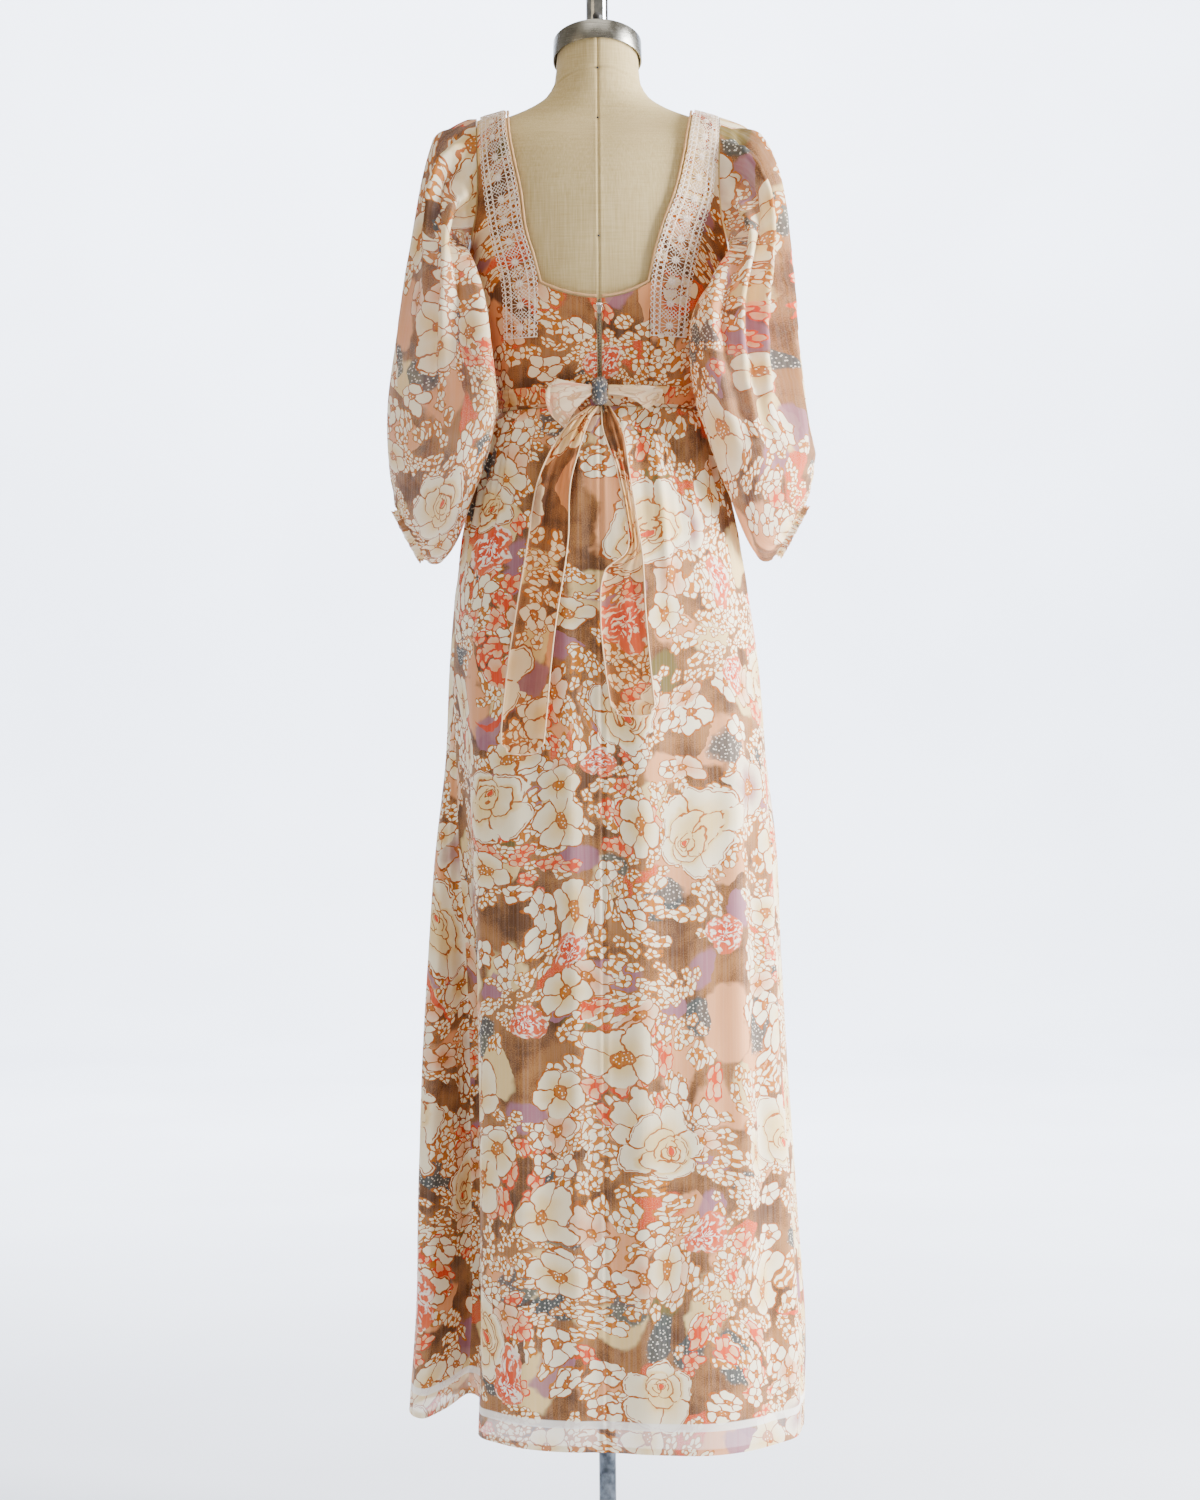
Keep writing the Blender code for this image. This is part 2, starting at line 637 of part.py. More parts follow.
# ------------------------------------------------------------------ bodice
def half_panel(side, face, edges, corner_z, centre_z, inner_x):
    """Points of half a bodice, with its strap: rows from the waist seam to the shoulder.

    Columns run from the middle out. The first ones end at the neckline, and the rest go on
    as the strap. Returns the rows, the last row of the body and the first strap column.
    """
    body_rows, strap_rows = 4, 8
    middle_columns, strap_columns = 3, 4
    corner_x = track(edges, "z", "neckline", corner_z)
    rows = []
    for r in range(body_rows + strap_rows + 1):
        high = max(r - body_rows, 0) / strap_rows
        rise = math.sin(high * math.pi / 2)
        level = corner_z + (SHOULDER_LEVEL - corner_z) * rise
        row = []
        for c in range(middle_columns + strap_columns + 1):
            if c < middle_columns:
                x = inner_x + (corner_x - inner_x) * c / middle_columns
                top = centre_z + (corner_z - centre_z) * (x / corner_x) ** 2
                z = SEAM_Z + (top - SEAM_Z) * min(r / body_rows, 1)
                row.append(Vector((side * x, form_y(x, z, CLOTH_OUT, face), z)))
                continue
            z = SEAM_Z + (corner_z - SEAM_Z) * r / body_rows if r <= body_rows else level
            at_side = z <= UNDERARM_Z
            outer = form_width(z, CLOTH_OUT) if at_side else track(ARMHOLE, "z", "x", z)
            start = track(edges, "z", "neckline", z)
            share = math.sin(math.pi / 2 * (c - middle_columns) / strap_columns)
            x = start + (outer - start) * share
            if r > body_rows:
                z = corner_z + (shoulder_z(x, CLOTH_OUT) - corner_z) * rise
                x = min(x, form_width(z, CLOTH_OUT))
            last = c == middle_columns + strap_columns
            y = form_y(x, z, CLOTH_OUT, face)
            if (last and at_side) or high == 1:
                y = face * GAP
            row.append(Vector((side * x, y, z)))
        rows.append(row)
    return rows, body_rows, middle_columns


def oriented(rows, flip):
    return [list(reversed(row)) for row in rows] if flip else rows


def open_squares(rows, first_row, first, last):
    """The squares of a grid above the neckline, between two columns, that stay open."""
    return {(r, c) for r in range(first_row, len(rows)) for c in range(first, last)}


def make_backs():
    for side, name, edges in ((-1, "left", LEFT_EDGES), (1, "right", RIGHT_EDGES)):
        rows, body, middle = half_panel(side, -1, edges, BACK_CORNER_Z, BACK_CENTRE_Z, ZIP_HALF)
        squares = len(rows[0]) - 1
        first = squares - middle if side < 0 else 0
        gone = open_squares(rows, body, first, first + middle)
        sheet("bodice_back_" + name, oriented(rows, side < 0), PRINT, skip=gone)


def make_front():
    left, body, middle = half_panel(-1, 1, FRONT_EDGES, FRONT_CORNER_Z, FRONT_CENTRE_Z, 0)
    right = half_panel(1, 1, FRONT_EDGES, FRONT_CORNER_Z, FRONT_CENTRE_Z, 0)[0]
    rows = [list(reversed(a)) + b[1:] for a, b in zip(right, left)]
    half = len(left[0]) - 1
    gone = open_squares(rows, body, half - middle, half + middle)
    sheet("bodice_front", rows, PRINT, skip=gone)


def make_lace():
    """A band on each strap and back panel, from the shoulder seam to below the neckline."""
    for side, name, edges in ((-1, "left", LEFT_EDGES), (1, "right", RIGHT_EDGES)):
        rows = []
        for r in range(LACE_ROWS + 1):
            rise = math.sin(math.pi / 2 * r / LACE_ROWS)
            level = LACE_BOTTOM + (SHOULDER_LEVEL - LACE_BOTTOM) * rise
            inner = track(edges, "z", "neckline", level) + 0.0015
            outer = track(edges, "z", "lace_outer", level)
            row = []
            for c in range(LACE_COLUMNS + 1):
                x = inner + (outer - inner) * c / LACE_COLUMNS
                z = LACE_BOTTOM + (shoulder_z(x, LACE_OUT) - LACE_BOTTOM) * rise
                y = form_y(x, z, LACE_OUT, -1) if r < LACE_ROWS else -GAP
                row.append(Vector((side * x, y, z)))
            rows.append(row)
        sheet("lace_" + name, oriented(rows, side < 0), LACE, thick=LACE_THICK)


def make_bindings():
    """A rolled edge along each half of the back neckline, just inside the panel's edge."""
    clear = BINDING_RADIUS + CLOTH / 2 + 2 * GAP
    for side, name, edges in ((-1, "left", LEFT_EDGES), (1, "right", RIGHT_EDGES)):
        corner = track(edges, "z", "neckline", BACK_CORNER_Z)
        path = []
        for n in range(5):
            x = ZIP_HALF + (corner - clear - ZIP_HALF) * n / 4
            z = BACK_CENTRE_Z + (BACK_CORNER_Z - BACK_CENTRE_Z) * (x / corner) ** 2 + clear
            path.append((side * x, form_y(x, z, CLOTH_OUT, -1), z))
        for n in range(2, BINDING_STEPS + 1):
            rise = math.sin(math.pi / 2 * n / BINDING_STEPS)
            level = BACK_CORNER_Z + (SHOULDER_LEVEL - BACK_CORNER_Z) * rise
            x = track(edges, "z", "neckline", level) - clear
            z = BACK_CORNER_Z + (shoulder_z(x, CLOTH_OUT) - BACK_CORNER_Z) * rise
            y = form_y(x, z, CLOTH_OUT, -1) if n < BINDING_STEPS else -0.001
            path.append((side * x, y, z))
        tube("binding_" + name, path, BINDING_RADIUS, BINDING, 1)


def tube(name, path, radius, finish, roundness):
    data = bpy.data.curves.new(name, "CURVE")
    data.dimensions = "3D"
    data.bevel_depth = radius
    data.bevel_resolution = roundness
    data.use_fill_caps = True
    spline = data.splines.new("POLY")
    spline.points.add(len(path) - 1)
    for point, place in zip(spline.points, path):
        point.co = (*place, 1)
    data.materials.append(finish)
    obj = bpy.data.objects.new(name, data)
    PARTS.objects.link(obj)
    return obj


# ------------------------------------------------------------------ sleeves
def armhole_point(angle):
    """A point just outside the armhole, at an angle from its top, round by the back."""
    top = shoulder_z(ARMHOLE[-1].x, ARMHOLE_OUT)
    low = UNDERARM_Z - 0.002
    z = low + (top - low) * (1 + math.cos(angle)) / 2
    x = min(track(ARMHOLE, "z", "x", z) + 0.0014, form_width(z, ARMHOLE_OUT))
    face = -1 if math.sin(angle) > 0 else 1
    return Vector((x, form_y(x, z, ARMHOLE_OUT, face), z))


def clear_of_body(point, clear):
    """The point, moved straight out from the axis where it would lie in the bodice or skirt."""
    if point.z > SEAM_Z:
        wide = form_width(point.z, clear)
        deep = form_depth(point.z, clear, -1 if point.y < 0 else 1)
    else:
        wide = track(SKIRT_RINGS, "z", "left", point.z) + clear
        deep = track(SKIRT_RINGS, "z", "back" if point.y < 0 else "front", point.z) + clear
    reach = ((abs(point.x) / wide) ** ROUNDNESS + (abs(point.y) / deep) ** ROUNDNESS) ** (1 / ROUNDNESS)
    if reach >= 1:
        return point
    return Vector((point.x / reach, point.y / reach, point.z))


def sleeve_ring(row, clear):
    outer = Vector((row.outer_x, row.outer_y, row.outer_z))
    inner = Vector((row.inner_x, row.inner_y, row.inner_z))
    middle = (outer + inner) / 2
    reach = outer - middle
    points = []
    for n in range(SLEEVE_SIDES):
        along, across = rounded(2 * math.pi * n / SLEEVE_SIDES, 1, row.depth)
        point = middle + reach * along + Vector((0, -across, 0))
        points.append(clear_of_body(point, clear))
    return points


def make_sleeves():
    for side, name, table in ((-1, "left", LEFT_SLEEVE), (1, "right", RIGHT_SLEEVE)):
        rings = [[armhole_point(2 * math.pi * n / SLEEVE_SIDES) for n in range(SLEEVE_SIDES)]]
        for i, row in enumerate(table):
            rings.append(sleeve_ring(row, CAP_CLEAR if i < 2 else BODY_CLEAR))
        last = rings[-1]
        rings = [[Vector((side * p.x, p.y, p.z)) for p in ring] for ring in rings]
        sheet("sleeve_" + name, oriented(rings, side < 0), PRINT, closed=True)
        way = CUFF_WAY.normalized()
        cuff = []
        for step in (CUFF_START, CUFF_DEPTH / 2, CUFF_DEPTH):
            ring = [p + way * step for p in last]
            cuff.append([Vector((side * p.x, p.y, p.z)) for p in ring])
        sheet("cuff_" + name, oriented(cuff, side < 0), PRINT, thick=ELASTIC_THICK, closed=True)


# ------------------------------------------------------------------ skirt
def make_skirt():
    heights = [row.z for row in SKIRT_RINGS]
    rows = [skirt_section(z) for z in heights]
    sheet("skirt", rows, PRINT, closed=True)
    lining = [LINING_TOP] + heights[1:-1] + [LINING_HEM]
    rows = [skirt_section(z, LINING_IN) for z in lining]
    sheet("skirt_lining", rows, LINING, closed=True)


# ------------------------------------------------------------------ sash and bow
def sash_y(x, z):
    return form_y(x, z, SASH_OUT, -1)


def make_sash():
    """The tie belt, from the knot to each side seam, on the bodice's lowest strip."""
    for side, name in ((-1, "left"), (1, "right")):
        rows = []
        for z in (SASH_BOTTOM, (SASH_BOTTOM + SASH_TOP) / 2, SASH_TOP):
            row = []
            for c in range(SASH_COLUMNS + 1):
                angle = math.radians(SASH_START + (90 - SASH_START) * c / SASH_COLUMNS)
                x = form_width(z, SASH_OUT) * math.sin(angle) ** (2 / ROUNDNESS)
                y = sash_y(x, z) if c < SASH_COLUMNS else -GAP
                row.append(Vector((side * x, y, z)))
            rows.append(row)
        sheet("sash_" + name, oriented(rows, side < 0), PRINT)


def make_bow():
    knot_y = sash_y(0, KNOT_Z) - CLOTH / 2 - 0.0005 - KNOT.y
    mesh = bpy.data.meshes.new("bow_knot")
    bm = bmesh.new()
    bmesh.ops.create_uvsphere(bm, u_segments=16, v_segments=10, radius=1)
    bmesh.ops.scale(bm, vec=KNOT, verts=bm.verts)
    bmesh.ops.translate(bm, vec=(0, knot_y, KNOT_Z), verts=bm.verts)
    bm.to_mesh(mesh)
    bm.free()
    new_object("bow_knot", mesh, PRINT)

    for loop in LOOPS:
        rows = [[], [], []]
        for n in range(LOOP_STEPS + 1):
            t = n / LOOP_STEPS
            reach = math.sin(math.pi * t)
            y = knot_y + 0.0045 * math.cos(math.pi * t) - 0.0060 * reach
            inside = KNOT.x * math.sqrt(max(1 - ((y - knot_y) / KNOT.y) ** 2, 0))
            x = loop.side * (inside + 0.0011 + loop.length * reach)
            half = 0.0055 + loop.swell * reach
            middle = KNOT_Z + 0.001 - loop.droop * reach
            for row, share in zip(rows, (-1, 0, 1)):
                row.append(Vector((x, y, middle + share * half)))
        sheet("bow_loop_" + loop.name, oriented(rows, loop.side < 0), PRINT)

    for name, table in (("left", LEFT_TAIL), ("right", RIGHT_TAIL)):
        rows = []
        for i, row in enumerate(table):
            line = []
            for share in (-0.5, 0, 0.5):
                x = row.x + row.width * share
                near = min(skirt_back_y(x + step, row.z) for step in (-TAIL_STEP, 0, TAIL_STEP))
                y = near - TAIL_OUT
                if i < 2:
                    y = min(y, knot_y + 0.003 * i)
                line.append(Vector((x, y, row.z)))
            rows.append(line)
        sheet("bow_tail_" + name, oriented(rows, True), PRINT)


# ------------------------------------------------------------------ zip
def make_zip():
    """Tapes behind the back edges, the closed chain between them, the slider and its pull."""
    low, high, count = SEAM_Z + 0.001, BACK_CENTRE_Z - 0.001, 5
    heights = [low + (high - low) * n / count for n in range(count + 1)]
    for side, name in ((-1, "left"), (1, "right")):
        rows = []
        for z in heights:
            xs = (side * TAPE_NEAR, side * TAPE_FAR)
            rows.append([Vector((x, form_y(x, z, CLOTH_OUT - TAPE_IN, -1), z)) for x in xs])
        sheet("zip_tape_" + name, oriented(rows, side < 0), TAPE, thick=TAPE_THICK)
    rows = []
    for z in heights:
        y = form_y(0, z, CLOTH_OUT, -1)
        rows.append([Vector((x, y, z)) for x in (-CHAIN_HALF, CHAIN_HALF)])
    sheet("zip_chain", rows, ZIP_METAL, thick=CHAIN_THICK)

    surface = form_y(0, SLIDER_Z, CLOTH_OUT, -1)
    front = surface - 0.0012 - SLIDER.y
    centre = Vector((0, front + SLIDER.y / 2, SLIDER_Z))
    slider = box("zip_slider", SLIDER, centre, ZIP_METAL)
    axis_y = front - EAR_REACH / 2 - 0.0002
    axis_z = SLIDER_Z + SLIDER.z / 2 - 0.0014
    for side, name in ((-1, "left"), (1, "right")):
        middle = (side * (SLIDER.x - EAR_THICK) / 2, front - EAR_REACH / 2 + 0.0002, axis_z)
        ear = box("ear_" + name, (EAR_THICK, EAR_REACH, 0.0026), middle, to=TOOLS)
        combine(slider, ear, "UNION")

    reach = SLIDER.x / 2 - EAR_THICK - PULL_GAP
    pull = bpy.data.objects.new("zip_pull", bpy.data.meshes.new("zip_pull"))
    PARTS.objects.link(pull)
    pull.location = (0, axis_y, axis_z)
    bm = bmesh.new()
    width = PULL_WIDTH / 2
    neck = reach * 0.55
    outline = [
        (-neck, -BARREL_RADIUS * 0.4),
        (-neck, -0.0022),
        (-width, -0.0052),
        (-width * 0.86, -0.0078),
        (0, -PULL_LENGTH),
        (width * 0.86, -0.0078),
        (width, -0.0052),
        (neck, -0.0022),
        (neck, -BARREL_RADIUS * 0.4),
    ]
    plate = bm.faces.new([bm.verts.new((x, -PULL_THICK / 2, z)) for x, z in outline])
    grown = bmesh.ops.extrude_face_region(bm, geom=[plate])
    moved = [v for v in grown["geom"] if isinstance(v, bmesh.types.BMVert)]
    bmesh.ops.translate(bm, vec=(0, PULL_THICK, 0), verts=moved)
    bmesh.ops.recalc_face_normals(bm, faces=bm.faces)
    bm.to_mesh(pull.data)
    bm.free()
    pull.data.materials.append(ZIP_METAL)
    barrel = cylinder(
        "pull_barrel",
        BARREL_RADIUS,
        Vector((-reach, axis_y, axis_z)),
        Vector((reach, axis_y, axis_z)),
        12,
        TOOLS,
    )
    combine(pull, barrel, "UNION")


clear_scene()
PARTS = collection("maxi_dress")
TOOLS = collection("cutters", hidden=True)
CHROME = material("chrome", (0.72, 0.73, 0.75), 0.12, 1.0)
STEEL = material("brushed_steel", (0.56, 0.56, 0.55), 0.34, 1.0)
STEEL_DARK = material("dark_steel", (0.12, 0.12, 0.13), 0.45, 0.8)
LINEN = material("linen", (0.60, 0.54, 0.43), 0.92)
PRINT = material("printed_chiffon", (0.78, 0.60, 0.45), 0.80)
LINING = material("off_white_lining", (0.86, 0.83, 0.76), 0.75)
LACE = material("crochet_lace", (0.80, 0.70, 0.63), 0.90)
BINDING = material("rolled_binding", (0.62, 0.40, 0.22), 0.85)
TAPE = material("zip_tape", (0.80, 0.74, 0.60), 0.85)
ZIP_METAL = material("zip_metal", (0.75, 0.75, 0.74), 0.30, 1.0)

make_stand()
make_collar()
make_form()
make_backs()
make_front()
make_lace()
make_bindings()
make_sleeves()
make_skirt()
make_sash()
make_bow()
make_zip()
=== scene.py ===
"""The looks of a maxi dress with bishop sleeves on a limbless linen dress form.

Metres, +Z up. The back of the dress faces -Y and the wearer's left is -X. The tables and the
curves are the solids' own, so each shell lies where its solid does, with finer points.
"""

import math
from collections import namedtuple
from functools import lru_cache

import bmesh
import bpy
import numpy as np
from mathutils import Matrix, Vector
from mathutils.bvhtree import BVHTree


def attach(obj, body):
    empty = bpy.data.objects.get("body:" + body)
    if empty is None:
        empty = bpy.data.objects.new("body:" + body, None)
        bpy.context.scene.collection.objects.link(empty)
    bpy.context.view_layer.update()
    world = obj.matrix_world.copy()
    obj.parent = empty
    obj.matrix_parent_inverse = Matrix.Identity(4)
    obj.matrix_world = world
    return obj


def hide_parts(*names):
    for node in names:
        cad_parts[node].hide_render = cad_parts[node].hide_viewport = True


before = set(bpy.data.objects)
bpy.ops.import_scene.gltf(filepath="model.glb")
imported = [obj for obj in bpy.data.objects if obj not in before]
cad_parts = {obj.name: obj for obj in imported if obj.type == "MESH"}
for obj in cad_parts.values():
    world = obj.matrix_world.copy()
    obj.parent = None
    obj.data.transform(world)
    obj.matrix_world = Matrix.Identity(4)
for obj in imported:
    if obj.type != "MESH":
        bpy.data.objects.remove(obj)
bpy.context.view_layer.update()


def table(columns, *rows):
    """Rows with named columns."""
    kind = namedtuple("Row", columns)
    return [kind(*row) for row in rows]


# ------------------------------------------------------------------ the solids' sizes
BASE_RADIUS = 0.170
BASE_RIM = 0.009
BASE_CROWN = 0.014
HUB_RADIUS = 0.026
HUB_HEIGHT = 0.046
POLE_RADIUS = 0.0093
POLE_TOP = 1.330
TUBE_RADIUS = 0.0120
TUBE_BORE = 0.0100
TUBE_BOTTOM = 0.9440
TUBE_TOP = 1.7350
KNOB_RADIUS = 0.0145
COLLAR_RADIUS = 0.0190
COLLAR_HEIGHT = 0.024
FLANGE_RADIUS = 0.046
FLANGE_THICK = 0.004
CAP_RADIUS = 0.0443
CAP_HEIGHT = 0.0150
CAP_BORE = 0.0198
NECK_TOP = 1.6500
NECK_TILT = math.radians(20)
NECK_RADIUS = 0.0442
FORM_BOTTOM = 0.9550
FORM_BORE = TUBE_RADIUS + 0.0005

SIDES = ((-1, "left"), (1, "right"))
GAP = 0.0003
CLOTH = 0.0012
SEAM_Z = 1.2620
CLOTH_OUT = 0.0046
LACE_OUT = CLOTH_OUT + 0.0021
SASH_OUT = CLOTH_OUT + 0.0024
SASH_BOTTOM = 1.2650
SASH_TOP = 1.2835
LINING_IN = 0.0030
LINING_HEM = 0.1970
ZIP_HALF = 0.0026
UNDERARM_Z = 1.4360
SHOULDER_LEVEL = 1.5800
LACE_BOTTOM = 1.3350
BINDING_RADIUS = 0.0014
ROUNDNESS = 2.2
BACK_CORNER_Z = 1.3915
BACK_CENTRE_Z = 1.3740
FRONT_CORNER_Z = 1.4300
FRONT_CENTRE_Z = 1.4240

FORM_RINGS = table(
    "z half_width back front",
    (0.9550, 0.1340, 0.0940, 0.0860),
    (1.0100, 0.1430, 0.1080, 0.0940),
    (1.0900, 0.1300, 0.1000, 0.0920),
    (1.1500, 0.1130, 0.0850, 0.0880),
    (1.2100, 0.1030, 0.0770, 0.0840),
    (1.2620, 0.1060, 0.0790, 0.0890),
    (1.3100, 0.1140, 0.0840, 0.1040),
    (1.3600, 0.1250, 0.0880, 0.1200),
    (1.4000, 0.1310, 0.0900, 0.1220),
    (1.4400, 0.1360, 0.0910, 0.1110),
    (1.4900, 0.1460, 0.0900, 0.0920),
    (1.5300, 0.1580, 0.0820, 0.0750),
    (1.5520, 0.1620, 0.0720, 0.0630),
    (1.5630, 0.1540, 0.0620, 0.0540),
    (1.5720, 0.1290, 0.0550, 0.0490),
    (1.5800, 0.1010, 0.0510, 0.0460),
    (1.5900, 0.0760, 0.0485, 0.0450),
    (1.6010, 0.0580, 0.0470, 0.0445),
    (1.6150, 0.0480, 0.0455, 0.0440),
    (1.6320, 0.0450, 0.0445, 0.0435),
)

# Edges of the back panels, by height: the neckline, and the outer edge of the lace band
EDGE = "z neckline lace_outer"
LEFT_EDGES = table(
    EDGE,
    (1.3300, 0.0640, 0.1010),
    (1.3915, 0.0640, 0.1035),
    (1.4440, 0.0790, 0.1150),
    (1.4810, 0.0840, 0.1205),
    (1.5230, 0.0925, 0.1245),
    (1.5470, 0.0965, 0.1255),
    (1.5840, 0.0995, 0.1255),
)
RIGHT_EDGES = table(
    EDGE,
    (1.3300, 0.0520, 0.0915),
    (1.3915, 0.0545, 0.0985),
    (1.4440, 0.0690, 0.1100),
    (1.4810, 0.0830, 0.1205),
    (1.5230, 0.0930, 0.1250),
    (1.5470, 0.0970, 0.1280),
    (1.5840, 0.1040, 0.1290),
)
FRONT_EDGES = table(
    "z neckline",
    (1.3300, 0.0780),
    (1.4300, 0.0780),
    (1.5800, 0.1000),
)
ARMHOLE = table(
    "z x",
    (1.4360, 0.1395),
    (1.4500, 0.1350),
    (1.4700, 0.1300),
    (1.5000, 0.1275),
    (1.5400, 0.1280),
    (1.5840, 0.1290),
)

SKIRT_RINGS = table(
    "z left right back front fold",
    (1.2612, 0.1112, 0.1112, 0.0842, 0.0942, 0.00),
    (1.2450, 0.1210, 0.1210, 0.0950, 0.1020, 0.00),
    (1.1800, 0.1380, 0.1370, 0.1090, 0.1150, 0.02),
    (1.0870, 0.1580, 0.1550, 0.1180, 0.1280, 0.07),
    (1.0000, 0.1670, 0.1670, 0.1220, 0.1370, 0.15),
    (0.9000, 0.1755, 0.1750, 0.1250, 0.1450, 0.32),
    (0.8000, 0.1865, 0.1820, 0.1270, 0.1520, 0.52),
    (0.6900, 0.1935, 0.1870, 0.1280, 0.1580, 0.72),
    (0.5600, 0.2010, 0.1935, 0.1300, 0.1660, 0.88),
    (0.4200, 0.2080, 0.2025, 0.1310, 0.1730, 0.97),
    (0.2900, 0.2100, 0.2110, 0.1320, 0.1770, 1.00),
    (0.1720, 0.2180, 0.2130, 0.1320, 0.1780, 1.00),
)

# The hem from above: turn is the angle from the back's middle, round by the wearer's left
HEM_PLAN = table(
    "place turn x y lift",
    ("back middle", 0, 0.000, -0.132, 0.000),
    ("back left", 24, -0.062, -0.127, 0.001),
    ("before the fold", 42, -0.112, -0.112, 0.006),
    ("fold edge", 55, -0.137, -0.078, 0.008),
    ("fold return", 65, -0.129, -0.020, 0.012),
    ("valley wall", 74, -0.133, 0.045, 0.015),
    ("valley floor", 83, -0.154, 0.084, 0.016),
    ("lobe wall", 91, -0.177, 0.056, 0.006),
    ("lobe edge", 100, -0.202, 0.032, 0.000),
    ("left side", 111, -0.218, 0.082, 0.000),
    ("front left", 128, -0.187, 0.138, 0.002),
    ("front left trough", 150, -0.106, 0.158, 0.003),
    ("front middle", 178, -0.010, 0.178, 0.000),
    ("front right trough", 207, 0.080, 0.160, 0.002),
    ("front right", 232, 0.158, 0.138, 0.000),
    ("right front edge", 254, 0.201, 0.082, 0.000),
    ("right side", 274, 0.213, -0.006, 0.000),
    ("right back edge", 297, 0.184, -0.086, -0.001),
    ("back right", 325, 0.108, -0.134, -0.003),
)

SLEEVE_RING = "outer_x outer_z inner_x inner_z depth outer_y inner_y"
LEFT_SLEEVE = table(
    SLEEVE_RING,
    (0.1520, 1.5710, 0.1450, 1.4330, 0.0660, 0.000, 0.000),
    (0.1700, 1.5580, 0.1500, 1.4290, 0.0700, 0.000, 0.000),
    (0.1835, 1.5160, 0.1480, 1.4240, 0.0710, 0.000, -0.014),
    (0.1930, 1.4500, 0.1360, 1.4100, 0.0690, -0.002, -0.040),
    (0.2060, 1.3950, 0.1240, 1.3780, 0.0660, -0.004, -0.060),
    (0.2190, 1.3400, 0.1185, 1.3320, 0.0640, -0.006, -0.068),
    (0.2280, 1.2870, 0.1175, 1.2820, 0.0640, -0.006, -0.070),
    (0.2300, 1.2460, 0.1190, 1.2360, 0.0640, -0.006, -0.068),
    (0.2280, 1.2150, 0.1240, 1.1880, 0.0640, -0.006, -0.060),
    (0.2255, 1.1900, 0.1340, 1.1420, 0.0640, -0.005, -0.040),
    (0.2235, 1.1740, 0.1480, 1.1050, 0.0560, -0.004, -0.016),
    (0.2210, 1.1660, 0.1720, 1.0885, 0.0470, -0.004, -0.008),
    (0.2187, 1.1624, 0.1885, 1.1060, 0.0360, -0.003, -0.003),
)
RIGHT_SLEEVE = table(
    SLEEVE_RING,
    (0.1570, 1.5700, 0.1450, 1.4330, 0.0660, 0.000, 0.000),
    (0.1760, 1.5480, 0.1500, 1.4290, 0.0700, 0.000, 0.000),
    (0.1950, 1.4870, 0.1470, 1.4230, 0.0710, 0.000, -0.020),
    (0.2035, 1.4250, 0.1270, 1.4060, 0.0690, -0.002, -0.054),
    (0.2100, 1.3750, 0.1040, 1.3740, 0.0660, -0.004, -0.074),
    (0.2155, 1.3350, 0.0940, 1.3350, 0.0640, -0.006, -0.080),
    (0.2215, 1.2880, 0.1050, 1.2880, 0.0640, -0.006, -0.078),
    (0.2260, 1.2400, 0.1180, 1.2400, 0.0640, -0.006, -0.072),
    (0.2328, 1.2130, 0.1270, 1.1880, 0.0640, -0.006, -0.062),
    (0.2310, 1.1970, 0.1360, 1.1440, 0.0640, -0.005, -0.042),
    (0.2260, 1.1800, 0.1480, 1.1060, 0.0560, -0.004, -0.018),
    (0.2218, 1.1700, 0.1730, 1.0895, 0.0470, -0.004, -0.008),
    (0.2186, 1.1646, 0.1875, 1.1085, 0.0360, -0.003, -0.003),
)
ARMHOLE_OUT = CLOTH_OUT + 0.0018
CAP_CLEAR = 0.0085
BODY_CLEAR = 0.0120
CUFF_DEPTH = 0.009
CUFF_WAY = np.array((0.90, 0.0, -0.43)) / math.hypot(0.90, 0.43)

TAIL = "z x width"
LEFT_TAIL = table(
    TAIL,
    (1.2606, -0.0056, 0.0085),
    (1.2440, -0.0210, 0.0190),
    (1.2150, -0.0360, 0.0290),
    (1.1760, -0.0490, 0.0350),
    (1.1150, -0.0555, 0.0420),
    (1.0330, -0.0690, 0.0435),
    (0.9900, -0.0750, 0.0450),
    (0.9120, -0.0830, 0.0455),
    (0.8960, -0.0835, 0.0400),
)
RIGHT_TAIL = table(
    TAIL,
    (1.2606, 0.0056, 0.0085),
    (1.2330, 0.0132, 0.0200),
    (1.1950, 0.0225, 0.0130),
    (1.1400, 0.0320, 0.0110),
    (1.1060, 0.0345, 0.0160),
    (1.0860, 0.0240, 0.0400),
    (1.0400, 0.0225, 0.0470),
    (0.9850, 0.0270, 0.0470),
    (0.9350, 0.0330, 0.0450),
)
TAIL_OUT = 0.0050
TAIL_CLOTH = 0.047
KNOT = (0.0095, 0.0085, 0.0150)
KNOT_Z = 1.2760
SLIDER = (0.0064, 0.0024, 0.0090)
SLIDER_Z = 1.3640
EAR_REACH = 0.0022


# Where each piece is cut from the print, in metres of cloth, and the step to its other side
PRINT_SPOTS = {
    "back_panel": ((2.31, 0.40), (0, 0)),
    "front_panel": ((6.47, 0.15), (0, 0)),
    "sleeve": ((3.9, 0), (1, 0.63)),
    "cuff": ((3.9, -0.48), (1, 0)),
    "belt": ((1.27, 2.2), (0, 0)),
    "knot": ((5.17, 3.3), (0, 0)),
    "loop": ((7.3, 1.4), (1, 0)),
    "tail": ((4.9, 0.77), (1, 0)),
}
FRONT_SKIRT_SHIFT = 4.3


# ------------------------------------------------------------------ curves and surfaces
@lru_cache(maxsize=None)
def table_curve(name, key, column):
    """Keys, values and slopes of one column of a table, with rising keys."""
    rows = TABLES[name]
    keys = np.array([getattr(row, key) for row in rows], float)
    values = np.array([getattr(row, column) for row in rows], float)
    if keys[0] > keys[-1]:
        keys, values = keys[::-1], values[::-1]
    n = np.arange(len(keys))
    low, high = np.maximum(n - 1, 0), np.minimum(n + 1, len(keys) - 1)
    return keys, values, (values[high] - values[low]) / (keys[high] - keys[low])


